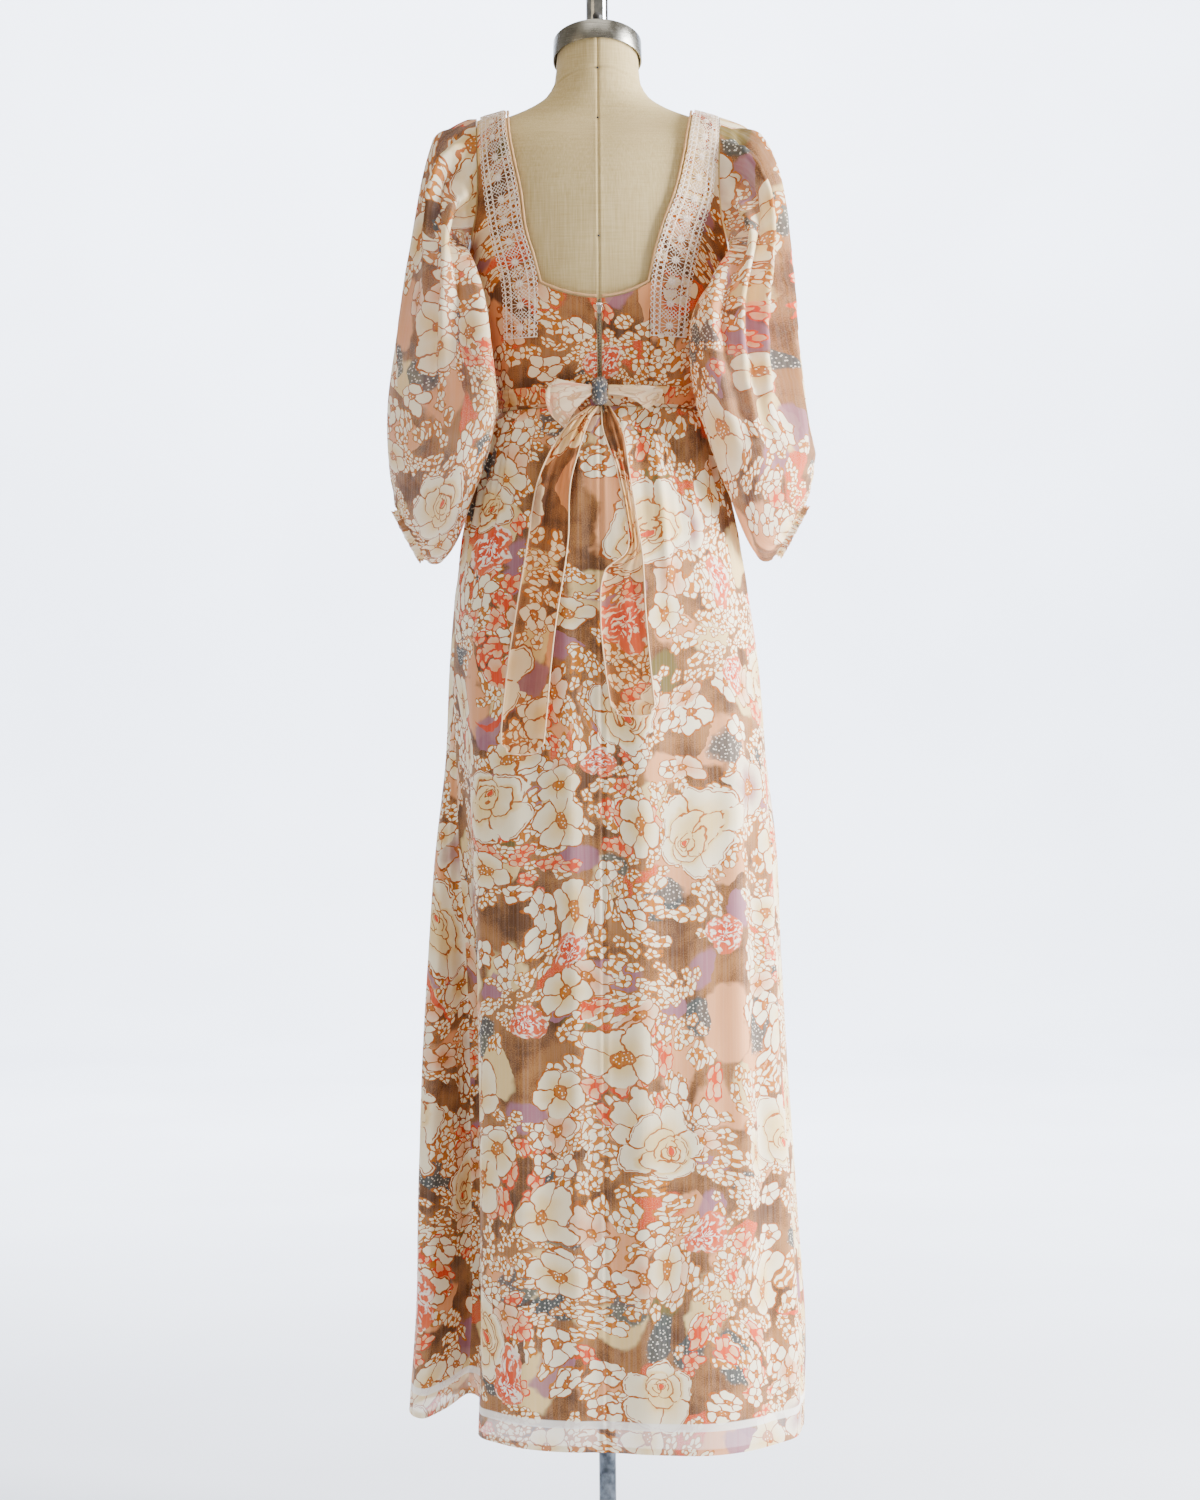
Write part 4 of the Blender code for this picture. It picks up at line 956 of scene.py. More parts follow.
def chiffon(name, open_share, glow, tint_and_shade=None, sheer_hem_and_painted_line=False, veil=None):
    """Printed chiffon: partly see-through, and lit through from behind."""
    made, graph = new_material(name)
    normal, cloth = weave(graph, 0.0011, 0.35)
    drawn = use_group(graph, PRINT, {"Cloth": cloth})
    x, y, _ = graph.parts(cloth)
    streak, _ = graph.noise(graph.join(x, y * 0.02), 420.0)
    colour = graph.mix(graph.step(streak, 0.35, 0.70) * 0.04, drawn["Color"], linear("#FFFFFF"))
    # tint_and_shade multiplies a warm tone over the print: a real tint on the ribbon, and on the bodice painted
    # shade that darkens the print seen through the lace
    if tint_and_shade:
        colour = graph.mix(tint_and_shade[0], colour, tint_and_shade[1], "MULTIPLY")
    if sheer_hem_and_painted_line:
        # painted light: along the lining's hem the print is painted near-white in a line, standing in for the
        # lit lining seen through the chiffon; below it the cloth is more see-through
        off_painted_line = graph.math("ABSOLUTE", y - (LINING_HEM + LINE_RISE))
        colour = graph.mix(graph.step(off_painted_line, 0.0046, 0.0034) * 0.80, colour, linear("#FFFEFA"))
        open_share = graph.step(y, LINING_HEM + 0.006, LINING_HEM - 0.004, open_share, HEM_OPEN)
    if veil:
        colour = graph.mix(veil[0], colour, veil[1])
    sheen = {"Specular_IOR_Level": 0.25, "Sheen_Weight": 0.03, "Sheen_Roughness": 0.5}
    shown = graph.body(colour, 0.72, normal, **sheen)
    shown = graph.blend(glow, shown, graph.node("BsdfTranslucent", {"Color": colour, "Normal": normal}))
    if open_share:
        shown = graph.blend(open_share, shown, graph.node("BsdfTransparent"))
    graph.show(shown)
    return made


def plain_cloth(name, colour, shade, pitch=0.0009, roughness=0.85, glow=0.0, fleck=None):
    """Cloth of two close tones, with spots of a third where fleck is given."""
    made, graph = new_material(name)
    normal, cloth = weave(graph, pitch, 0.4)
    blotch, _ = graph.noise(cloth, 22.0 if fleck is None else 90.0, 3.0)
    tint = graph.mix(graph.step(blotch, 0.3, 0.75), colour, shade)
    if fleck is not None:
        spots = graph.term(graph.cells(cloth, 1 / 0.0036), "Distance")
        tint = graph.mix((spots < 0.20) * 0.8, tint, fleck)
    shown = graph.body(tint, roughness, normal, Specular_IOR_Level=0.25, Sheen_Weight=0.08)
    if glow:
        shown = graph.blend(glow, shown, graph.node("BsdfTranslucent", {"Color": tint, "Normal": normal}))
    graph.show(shown)
    return made


def linen():
    """Fine upright linen with slubs and soft clouds."""
    made, graph = new_material("linen_cover")
    place = graph.own_place()
    x, y, z = graph.parts(place)
    warp, _ = graph.noise(graph.join(x, y, z * 0.03), 900.0, 2.0, 0.6, "3D")
    weft, _ = graph.noise(graph.join(x * 0.04, y * 0.04, z), 900.0, 2.0, 0.6, "3D")
    cloud, _ = graph.noise(place, 9.0, 3.0, 0.5, "3D")
    threads = warp * 0.62 + weft * 0.38
    tint = graph.mix(graph.step(threads, 0.20, 0.80), linear("#AB9565"), linear("#CDBB8E"))
    tint = graph.mix(graph.step(cloud, 0.3, 0.8) * 0.25, tint, linear("#BBA578"))
    normal = graph.bumps(threads, 0.25, 0.0002)
    graph.show(graph.body(tint, 0.88, normal, Specular_IOR_Level=0.2, Sheen_Weight=0.10))
    return made


def metal(name, dark, light, roughness, brushed=0.0):
    """Steel with faint wear; brushed lines run round the axis where brushed is above zero."""
    made, graph = new_material(name)
    place = graph.own_place()
    x, y, z = graph.parts(place)
    lines, _ = graph.noise(graph.join(x * 0.02, y * 0.02, z), 2600.0, 2.0, 0.6, "3D")
    cloud, _ = graph.noise(place, 60.0, 3.0, 0.6, "3D")
    tint = graph.mix(graph.step(lines * brushed + cloud * (1 - brushed), 0.3, 0.7), dark, light)
    rough = graph.step(cloud, 0.25, 0.8, roughness * 0.8, roughness * 1.3)
    graph.show(graph.body(tint, rough, graph.bumps(lines, 0.10 + 0.25 * brushed, 0.0001), Metallic=1.0))
    return made


def painted(name, dark, light, roughness):
    made, graph = new_material(name)
    cloud, _ = graph.noise(graph.own_place(), 180.0, 3.0, 0.6, "3D")
    tint = graph.mix(graph.step(cloud, 0.3, 0.7), dark, light)
    graph.show(graph.body(tint, roughness, graph.bumps(cloud, 0.15, 0.0002)))
    return made


def thread(name, dark, light):
    """Cotton thread with a fine twist."""
    made, graph = new_material(name)
    place = graph.own_place()
    x, y, z = graph.parts(place)
    twist = graph.math("SINE", (x + y * 0.7 + z * 0.8) * 5200.0)
    cloud, _ = graph.noise(place, 500.0, dimensions="3D")
    tint = graph.mix(graph.step(cloud + twist * 0.08, 0.3, 0.72), dark, light)
    graph.show(graph.body(tint, 0.85, graph.bumps(cloud + twist * 0.2, 0.3, 0.0002), Sheen_Weight=0.15))
    return made


# ------------------------------------------------------------------ stand
def turned(name, profile, finish, slot, node, steps=96, matrix=None, body="form"):
    return finish_piece(lathe(name, profile, steps, matrix), finish, slot, node, body=body)


def make_stand():
    foot = BASE_CROWN + GAP
    base = [
        (0.0, BASE_CROWN),
        (HUB_RADIUS + 0.030, BASE_CROWN),
        (BASE_RADIUS - 0.030, BASE_RIM + 0.002),
        (BASE_RADIUS - 0.006, BASE_RIM + 0.0002),
        (BASE_RADIUS - 0.003, BASE_RIM - 0.0006),
        (BASE_RADIUS - 0.001, BASE_RIM - 0.002),
        (BASE_RADIUS, BASE_RIM - 0.004),
        (BASE_RADIUS, 0.001),
        (BASE_RADIUS - 0.001, 0.0),
        (0.0, 0.0),
    ]
    turned("base_disc", base, DARK, "dark_steel", "base_plate", 144, body="stand")
    hub = [
        (POLE_RADIUS + GAP, foot),
        (POLE_RADIUS + GAP, foot + HUB_HEIGHT),
        (0.0130, foot + HUB_HEIGHT),
        (0.0146, foot + HUB_HEIGHT - 0.0012),
        (0.0155, foot + HUB_HEIGHT - 0.004),
        (0.0160, foot + 0.020),
        (0.0178, foot + 0.011),
        (0.0215, foot + 0.0066),
        (HUB_RADIUS - 0.001, foot + 0.0052),
        (HUB_RADIUS, foot + 0.0042),
        (HUB_RADIUS, foot),
        (POLE_RADIUS + GAP, foot),
    ]
    turned("foot_socket", hub, CHROME, "chrome", "base_hub", body="stand")
    pole = [
        (0.0, POLE_TOP),
        (POLE_RADIUS - 0.0012, POLE_TOP),
        (POLE_RADIUS - 0.0003, POLE_TOP - 0.0004),
        (POLE_RADIUS, POLE_TOP - 0.0012),
        (POLE_RADIUS, 0.600),
        (POLE_RADIUS, foot),
        (0.0, foot),
    ]
    # the pole takes the darker copy of the chrome, which is painted shade
    turned("inner_pole", pole, SHADED_POLE_CHROME, "chrome", "pole", 64, body="stand")

    top = TUBE_BOTTOM - GAP
    collar = [
        (POLE_RADIUS + GAP, top - COLLAR_HEIGHT),
        (POLE_RADIUS + GAP, top),
        (COLLAR_RADIUS - 0.002, top),
        (COLLAR_RADIUS - 0.0006, top - 0.0006),
        (COLLAR_RADIUS, top - 0.002),
        (COLLAR_RADIUS, top - COLLAR_HEIGHT + 0.002),
        (COLLAR_RADIUS - 0.0006, top - COLLAR_HEIGHT + 0.0006),
        (COLLAR_RADIUS - 0.002, top - COLLAR_HEIGHT),
        (POLE_RADIUS + GAP, top - COLLAR_HEIGHT),
    ]
    turned("height_collar", collar, CHROME, "chrome", "clamp_collar", body="collar")
    start = COLLAR_RADIUS + GAP
    knob = [(0.0, start + 0.024), (0.0062, start + 0.0237), (0.0088, start + 0.0225), (0.0098, start + 0.0205)]
    knob += [(0.0098, start + 0.0125), (0.0085, start + 0.0108), (0.0042, start + 0.0095)]
    knob += [(0.004, start), (0.0, start)]
    side = Matrix.Translation((0, 0, top - COLLAR_HEIGHT / 2)) @ Matrix.Rotation(math.pi / 2, 4, "X")
    turned("collar_grip", knob, DARK, "dark_steel", "collar_knob", 48, side, body="collar")


def make_neck():
    tilt = Matrix.Rotation(-NECK_TILT, 4, "X")
    lift = Matrix.Translation((0, 0, NECK_TOP + GAP / math.cos(NECK_TILT)))
    cap = [
        (CAP_BORE, 0.0),
        (CAP_BORE, CAP_HEIGHT + 0.0010),
        (CAP_BORE + 0.0006, CAP_HEIGHT + 0.0014),
        (CAP_RADIUS - 0.0040, CAP_HEIGHT + 0.0012),
        (CAP_RADIUS - 0.0008, CAP_HEIGHT + 0.0006),
        (CAP_RADIUS + 0.0022, CAP_HEIGHT),
        (CAP_RADIUS + 0.0034, CAP_HEIGHT - 0.0010),
        (CAP_RADIUS + 0.0036, -0.0080),
        (CAP_RADIUS + 0.0032, -0.0086),
        (CAP_RADIUS + 0.0020, -0.0082),
        (CAP_RADIUS - 0.0010, 0.0),
        (CAP_BORE, 0.0),
    ]
    turned("neck_band", cap, STEEL, "brushed_steel", "neck_cap", 128, lift @ tilt)
    tube = [
        (TUBE_BORE, TUBE_BOTTOM),
        (TUBE_BORE, TUBE_TOP),
        (TUBE_RADIUS, TUBE_TOP),
        (TUBE_RADIUS, TUBE_BOTTOM),
        (TUBE_BORE, TUBE_BOTTOM),
    ]
    turned("outer_tube", tube, CHROME, "chrome", "neck_tube", 64)
    above = TUBE_TOP + GAP
    knob = [(0.0, above + 0.0100 + KNOB_RADIUS)]
    for n in range(1, 15):
        angle = math.radians(90 - n * 9.4)
        knob.append((KNOB_RADIUS * math.cos(angle), above + 0.0100 + KNOB_RADIUS * math.sin(angle)))
    knob += [(0.0105, above + 0.0004), (0.0102, above), (0.0, above)]
    turned("top_ball", knob, CHROME, "chrome", "tube_knob", 64)
    screw = [(0.0, 0.0052), (0.0014, 0.0051), (0.0027, 0.0046), (0.0038, 0.0036)]
    screw += [(0.0045, 0.0024), (0.0048, 0.0012), (0.0048, 0.0), (0.0, 0.0)]
    facing = Matrix.Translation((0, -TUBE_RADIUS - GAP, 1.6890)) @ Matrix.Rotation(math.pi / 2, 4, "X")
    turned("lock_button", screw, DARK, "dark_steel", "lock_screw", 40, facing)
    below = FORM_BOTTOM - GAP
    flange = [
        (FORM_BORE, below - FLANGE_THICK),
        (FORM_BORE, below),
        (FLANGE_RADIUS, below),
        (FLANGE_RADIUS, below - FLANGE_THICK + 0.0008),
        (FLANGE_RADIUS - 0.0008, below - FLANGE_THICK),
        (FORM_BORE, below - FLANGE_THICK),
    ]
    turned("under_flange", flange, STEEL, "brushed_steel", "form_flange")


PINS = [(0.0, 1.6270), (0.0, 1.5717), (0.0, 1.4400)]


def make_form():
    """The linen form, with its middle seam, its neck seam and the dimples round its pins."""
    even = np.radians(np.arange(0, 360, 2.4))
    near = np.radians(-90 + np.array([-1.3, -0.9, -0.6, -0.35, -0.15, 0.15, 0.35, 0.6, 0.9, 1.3]))
    angle = np.sort(np.concatenate([even, near % (2 * math.pi)]))
    z = np.concatenate([np.linspace(FORM_BOTTOM, 1.570, 124), np.linspace(1.572, 1.632, 52)])
    z = z[:, None]
    back = np.sin(angle)[None, :] < 0
    depth = np.where(back, track("form", "back", z), track("form", "front", z))
    x, y = rounded(angle[None, :], track("form", "half_width", z), depth)
    body = np.stack([x, y, np.broadcast_to(z, x.shape)], -1)
    ring_x, ring_y = NECK_RADIUS * np.cos(angle), NECK_RADIUS * np.sin(angle)
    rim = np.stack([ring_x, ring_y, NECK_TOP - ring_y * math.tan(NECK_TILT)], -1)
    share = np.linspace(0, 1, 9)[1:, None, None]
    neck = body[-1][None] * (1 - share) + rim[None] * share
    points = np.concatenate([body, neck])
    out = normals(points, closed=True)
    behind = points[..., 1] < 0
    seam = np.where(behind, bump(points[..., 0], 0.0011), 0) * -0.0009
    seam += np.where(behind, bump(np.abs(points[..., 0]) - 0.0026, 0.0016), 0) * 0.0003
    collar_z = 1.6085 + 0.0185 * np.maximum(0, -np.sin(angle))[None, :] ** 1.6
    seam -= 0.0008 * bump(points[..., 2] - collar_z, 0.0012)
    seam += 0.0004 * bump(np.abs(points[..., 2] - collar_z) - 0.0030, 0.0018)
    for pin_x, pin_z in PINS:
        near_pin = np.hypot(points[..., 0] - pin_x, points[..., 2] - pin_z)
        seam -= np.where(behind, 0.0008 * bump(near_pin, 0.0055), 0)
    seam += 0.0005 * wander(points[..., 0] * 9, points[..., 2] * 9, 5)
    points = points + out * seam[..., None]
    under = np.stack([points[0] * np.array((s, s, 1)) for s in (0.30, 0.55, 0.80, 0.96)])
    under[..., 2] = FORM_BOTTOM
    top = points[-1][None] * np.array((0.55, 0.55, 1))
    top[..., 2] = NECK_TOP - top[..., 1] * math.tan(NECK_TILT)
    obj = grid("linen_form", np.concatenate([under, points, top]), closed=True)
    finish_piece(obj, LINEN, "linen", "torso")
    make_pins()


def make_pins():
    """Small dark pin heads along the middle seam and on the neck's right side."""
    path_sets, sizes = [], []
    places = [(x, -float(track("form", "back", z)) + 0.0006, z, (0, -1, 0)) for x, z in PINS]
    places += [(0.0440, -0.0060, 1.6235, (1, 0, 0)), (0.0452, -0.0080, 1.6130, (1, 0, 0))]
    for x, y, z, way in places:
        steps = np.linspace(-1, 1, 7)
        path_sets.append([(x + way[0] * 0.0009 * s, y + way[1] * 0.0009 * s, z) for s in steps])
        sizes.append(np.sqrt(np.maximum(1 - steps**2, 0.02)) * 0.0011)
    finish_piece(tubes("form_pins", path_sets, sizes, 10), PIN, "dark_steel")


# ------------------------------------------------------------------ bodice
BODY_ROWS, STRAP_ROWS, MIDDLE_COLUMNS, STRAP_COLUMNS = 34, 72, 26, 28


def half_panel(side, face, edges, corner_z, centre_z, inner_x):
    """Points of half a bodice with its strap, as the solid has them, with finer steps."""
    corner_x = float(track(edges, "neckline", corner_z))
    inner = np.arange(MIDDLE_COLUMNS) / MIDDLE_COLUMNS
    share = np.sin(np.pi / 2 * np.arange(STRAP_COLUMNS + 1) / STRAP_COLUMNS)
    rows = []
    for r in range(BODY_ROWS + STRAP_ROWS + 1):
        rise = math.sin(max(r - BODY_ROWS, 0) / STRAP_ROWS * math.pi / 2)
        x_in = inner_x + (corner_x - inner_x) * inner
        top = centre_z + (corner_z - centre_z) * (x_in / corner_x) ** 2
        z_in = SEAM_Z + (top - SEAM_Z) * min(r / BODY_ROWS, 1)
        level = SEAM_Z + (corner_z - SEAM_Z) * r / BODY_ROWS
        if r > BODY_ROWS:
            level = corner_z + (SHOULDER_LEVEL - corner_z) * rise
        at_side = level <= UNDERARM_Z
        outer = float(form_width(level, CLOTH_OUT)) if at_side else float(track("armhole", "x", level))
        start = float(track(edges, "neckline", level))
        x = start + (outer - start) * share
        z = np.full(x.shape, level)
        if r > BODY_ROWS:
            z = corner_z + (shoulder_z(x, CLOTH_OUT) - corner_z) * rise
            x = np.minimum(x, form_width(z, CLOTH_OUT))
        y = form_y(x, z, CLOTH_OUT, face)
        if at_side:
            y[-1] = face * GAP
        if r == BODY_ROWS + STRAP_ROWS:
            y[:] = face * GAP
        x_all, z_all = np.concatenate([x_in, x]), np.concatenate([z_in, z])
        y_all = np.concatenate([form_y(x_in, z_in, CLOTH_OUT, face), y])
        rows.append(np.stack([side * x_all, y_all, z_all], -1))
    return np.array(rows)


def panel_uv(points, origin=0.0):
    """Metres of cloth: across from the middle, and up."""
    across = lengths(points) + origin
    return np.stack([across, points[..., 2]], -1)


def panel_keep(shape):
    keep = np.ones((shape[0] - 1, shape[1] - 1), bool)
    keep[BODY_ROWS:, :MIDDLE_COLUMNS] = False
    return keep


def make_bodice():
    for side, name in SIDES:
        points = half_panel(side, -1, name + "_edges", BACK_CORNER_Z, BACK_CENTRE_Z, ZIP_HALF)
        out = normals(points)
        x, z = np.abs(points[..., 0]), points[..., 2]
        low = soft_step((1.345 - z) / 0.05)
        soft = 0.0005 * wander(x * 26, z * 8, 11 + side) * low
        soft += 0.0004 * wander(x * 12, z * 14, 21 + side)
        soft -= 0.0011 * bump(x - ZIP_HALF, 0.0030) * (z < BACK_CENTRE_Z)
        points = points + out * soft[..., None]
        uv = panel_uv(points) * np.array((side, 1))
        obj = grid("back_panel_" + name, points, cut_from(uv, "back_panel"), keep=panel_keep(points.shape))
        finish_piece(obj, BODICE, "printed_chiffon", "bodice_back_" + name)
    halves = [half_panel(side, 1, "front_edges", FRONT_CORNER_Z, FRONT_CENTRE_Z, 0) for side in (-1, 1)]
    uvs = [panel_uv(points) * np.array((side, 1)) for points, side in zip(halves, (-1, 1))]
    points = np.concatenate([halves[0][:, ::-1], halves[1][:, 1:]], axis=1)
    uv = cut_from(np.concatenate([uvs[0][:, ::-1], uvs[1][:, 1:]], axis=1), "front_panel")
    out = normals(points)
    x, z = points[..., 0], points[..., 2]
    gathers = soft_step((1.335 - z) / 0.07) * (0.0011 * wander(x * 46, z * 3, 31) + 0.0004)
    points = points + out * (gathers + 0.0004 * wander(x * 11, z * 9, 33))[..., None]
    keep = np.ones((points.shape[0] - 1, points.shape[1] - 1), bool)
    middle = MIDDLE_COLUMNS + STRAP_COLUMNS
    keep[BODY_ROWS:, middle - MIDDLE_COLUMNS : middle + MIDDLE_COLUMNS] = False
    obj = grid("front_panel", points, uv, keep=keep)
    finish_piece(obj, BODICE, "printed_chiffon", "bodice_front")


def neckline_path(side, edges, clear, lift, steps=90):
    """The line along half of the back neckline, clear metres inside its edge."""
    corner = float(track(edges, "neckline", BACK_CORNER_Z))
    path = []
    for t in np.linspace(0, 1, steps // 3):
        x = ZIP_HALF + (corner - clear - ZIP_HALF) * t
        z = BACK_CENTRE_Z + (BACK_CORNER_Z - BACK_CENTRE_Z) * (x / corner) ** 2 + clear
        path.append((side * x, float(form_y(x, z, CLOTH_OUT + lift, -1)), z))
    for n in np.linspace(1.2, 12, steps):
        rise = math.sin(math.pi / 2 * n / 12)
        level = BACK_CORNER_Z + (SHOULDER_LEVEL - BACK_CORNER_Z) * rise
        x = float(track(edges, "neckline", level)) - clear
        z = BACK_CORNER_Z + (float(shoulder_z(x, CLOTH_OUT + lift)) - BACK_CORNER_Z) * rise
        y = float(form_y(x, z, CLOTH_OUT + lift, -1)) if n < 12 else -0.001
        path.append((side * x, y, z))
    return np.array(path)


def make_bindings():
    """The rolled neckline edge, and the fine folds of the facing beside it."""
    clear = BINDING_RADIUS + CLOTH / 2 + 2 * GAP
    for side, name in SIDES:
        edges = name + "_edges"
        path = neckline_path(side, edges, clear, 0.0)
        count = np.arange(len(path))
        size = 0.00125 + 0.00018 * np.sin(count * 0.9) + 0.00012 * np.sin(count * 2.3 + 1)
        paths, sizes = [path], [size]
        if side < 0:
            inner = neckline_path(side, edges, clear - 0.0030, 0.0009)
            paths.append(inner[30:])
            sizes.append(np.full(len(inner) - 30, 0.00085))
        obj = tubes("rolled_edge_" + name, paths, sizes, 10)
        finish_piece(obj, BINDING, "rolled_binding", "binding_" + name)


# ------------------------------------------------------------------ lace
LACE_REPEATS = 13
SPOKES = 12
NET_STEP, NET_REACH = 0.0040, 0.0048
FINE_THREAD = 0.00034


def lace_surface(side, edges):
    """Gives the function from (along, across) shares of the band to points and normals."""
    rows, columns = 220, 13
    t = np.linspace(0, 1, rows)
    rise = np.sin(np.pi / 2 * t)
    level = LACE_BOTTOM + (SHOULDER_LEVEL - LACE_BOTTOM) * rise
    inner = track(edges, "neckline", level) + 0.0015
    outer = track(edges, "lace_outer", level)
    share = np.linspace(0, 1, columns)
    x = inner[:, None] + (outer - inner)[:, None] * share[None, :]
    z = LACE_BOTTOM + (shoulder_z(x, LACE_OUT) - LACE_BOTTOM) * rise[:, None]
    y = form_y(x, z, LACE_OUT, -1)
    y[-1] = -GAP
    points = np.stack([side * x, y, z], -1)
    run = np.concatenate([[0], np.cumsum(np.linalg.norm(np.diff(points[:, columns // 2], axis=0), axis=1))])
    even = np.interp(np.linspace(0, run[-1], rows), run, np.arange(rows))
    low = np.clip(even.astype(int), 0, rows - 2)
    points = points[low] + (points[low + 1] - points[low]) * (even - low)[:, None, None]
    out = normals(points)
    width = np.linalg.norm(points[:, -1] - points[:, 0], axis=1).mean()

    def place(along, across, height):
        r = np.clip(along, 0, 1) * (rows - 1)
        c = np.clip(across, 0, 1) * (columns - 1)
        i, j = np.clip(r.astype(int), 0, rows - 2), np.clip(c.astype(int), 0, columns - 2)
        a, b = (r - i)[:, None], (c - j)[:, None]
        results = []
        for field in (points, out):
            low_row = field[i, j] * (1 - b) + field[i, j + 1] * b
            high_row = field[i + 1, j] * (1 - b) + field[i + 1, j + 1] * b
            results.append(low_row * (1 - a) + high_row * a)
        return results[0] + results[1] * height[:, None]

    return place, run[-1], width


def arc(centre, radius, start, end, steps, squash=1.0, height=0.0):
    angle = np.linspace(start, end, steps)
    x, y = centre[0] + radius * np.cos(angle), centre[1] + radius * squash * np.sin(angle)
    return np.stack([x, y, np.full(steps, height)], -1)


def line(start, end, steps, height):
    t = np.linspace(0, 1, steps)[:, None]
    points = np.array(start)[None] * (1 - t) + np.array(end)[None] * t
    return np.concatenate([points, np.full(t.shape, height)], 1)


def lace_threads(length, width):
    """The threads of the band laid flat: lists of (along, across, height) points, and sizes."""
    repeat = length / LACE_REPEATS
    half = width / 2
    inner, holes, outer = half * 0.50, half * 0.665, half * 0.83
    paths, sizes = [], []
    rng = np.random.default_rng(77)

    def put(path, size):
        path = np.array(path)
        path = path[(path[:, 0] >= 0) & (path[:, 0] <= length)]
        if len(path) > 1:
            paths.append(path)
            sizes.append(size)

    for n in range(LACE_REPEATS + 1):
        middle = (n + 0.5) * repeat
        sway = rng.uniform(-0.0004, 0.0004)
        if n < LACE_REPEATS:
            for ring, size in ((0.0034, 0.00042), (0.0023, 0.00052), (0.0011, 0.00070)):
                put(arc((middle, sway), ring, 0, 2 * math.pi, 17, 0.95, 0.0003), size)
            for spoke in range(SPOKES):
                angle = 2 * math.pi * (spoke + 0.5) / SPOKES
                tip = (middle + 0.0086 * math.cos(angle), sway + inner * 0.98 * math.sin(angle))
                start = (middle + 0.0030 * math.cos(angle), sway + 0.0030 * math.sin(angle))
                put(line(start, tip, 5, 0.0002), FINE_THREAD)
        joint = n * repeat
        for step in (-2, -1, 0, 1, 2):
            offset = step * NET_STEP
            for way, height in ((1, 0.0), (-1, 0.0003)):
                start = (joint - NET_REACH, offset - way * NET_REACH)
                put(line(start, (joint + NET_REACH, offset + way * NET_REACH), 5, height), FINE_THREAD)
    rows = int(round(length / 0.0056))
    for n in range(rows):
        along = (n + 0.5) * length / rows
        for way in (-1, 1):
            size = rng.uniform(0.00034, 0.00044)
            put(arc((along, way * holes), 0.0025, 0, 2 * math.pi, 13, 1.0, 0.0002), size)
            rise = half - outer - 0.0002
            put(arc((along, way * (outer + 0.0003)), 0.0024, 0, way * math.pi, 9, rise / 0.0024, 0.0), 0.00040)
    t = np.linspace(0, length, 170)
    for way in (-1, 1):
        for across, wave, size in ((inner, 0.00036, 0.00036), (outer, 0.00032, 0.00042)):
            for phase in (0, math.pi):
                level = 0.0002 * np.cos(t / 0.0013 + phase)
                paths.append(np.stack([t, way * across + wave * np.sin(t / 0.0013 + phase), level], -1))
                sizes.append(size)
    for end in (0.0004, length - 0.0004):
        paths.append(np.stack([np.full(24, end), np.linspace(-half, half, 24), np.zeros(24)], -1))
        sizes.append(0.00060)
    return paths, sizes


def make_lace():
    for side, name in SIDES:
        place, length, width = lace_surface(side, name + "_edges")
        paths, sizes = lace_threads(length, width)
        obj = tubes("lace_band_" + name, paths, sizes, 5)
        flat = np.empty(len(obj.data.vertices) * 3)
        obj.data.vertices.foreach_get("co", flat)
        flat = flat.reshape(-1, 3)
        across = flat[:, 1] / width + 0.5
        bent = place(flat[:, 0] / length, across, flat[:, 2] * 0.8)
        over = np.maximum(np.abs(across - 0.5) - 0.5, 0) * np.sign(across - 0.5)
        level, along = flat[:, 2] * 0, flat[:, 0] / length
        edge_way = place(along, np.ones(len(flat)), level) - place(along, np.full(len(flat), 0.9), level)
        edge_way = edge_way / np.maximum(np.linalg.norm(edge_way, axis=1, keepdims=True), 1e-9)
        bent = bent + edge_way * (over * width)[:, None]
        obj.data.vertices.foreach_set("co", bent.reshape(-1))
        obj.data.update()
        finish_piece(obj, THREAD, "crochet_lace", "lace_" + name)


# ------------------------------------------------------------------ sleeves
SLEEVE_COLUMNS = 200
SLEEVE_STEPS = 12
SLEEVE_CLOTH = 0.41  # metres of print round a sleeve
SLEEVE_FOLD_GAIN = 2.5
SMOOTHING, SMOOTHING_LOW = 60, 260
CAP_GATHERS, CAP_GATHERS_BEHIND, CUFF_GATHERS = 26, 13, 34


def armhole_ring(angle):
    top = float(shoulder_z(ARMHOLE[-1].x, ARMHOLE_OUT))
    low = UNDERARM_Z - 0.002
    z = low + (top - low) * (1 + np.cos(angle)) / 2
    x = np.minimum(track("armhole", "x", z) + 0.0014, form_width(z, ARMHOLE_OUT))
    y = np.where(np.sin(angle) > 0, form_y(x, z, ARMHOLE_OUT, -1), form_y(x, z, ARMHOLE_OUT, 1))
    return np.stack([x, y, z], -1)


def clear_of_body(points, clear):
    """Points moved straight out from the axis where they would lie in the bodice or skirt."""
    x, y, z = points[..., 0], points[..., 1], points[..., 2]
    above = z > SEAM_Z
    wide = np.where(above, form_width(z, clear), track("skirt", "left", z) + clear)
    back = np.where(above, form_depth(z, clear, -1), track("skirt", "back", z) + clear)
    front = np.where(above, form_depth(z, clear, 1), track("skirt", "front", z) + clear)
    deep = np.where(y < 0, back, front)
    reach = ((np.abs(x) / wide) ** ROUNDNESS + (np.abs(y) / deep) ** ROUNDNESS) ** (1 / ROUNDNESS)
    scale = np.where(reach < 1, 1 / np.maximum(reach, 0.2), 1.0)
    return points * np.stack([scale, scale, np.ones_like(scale)], -1)


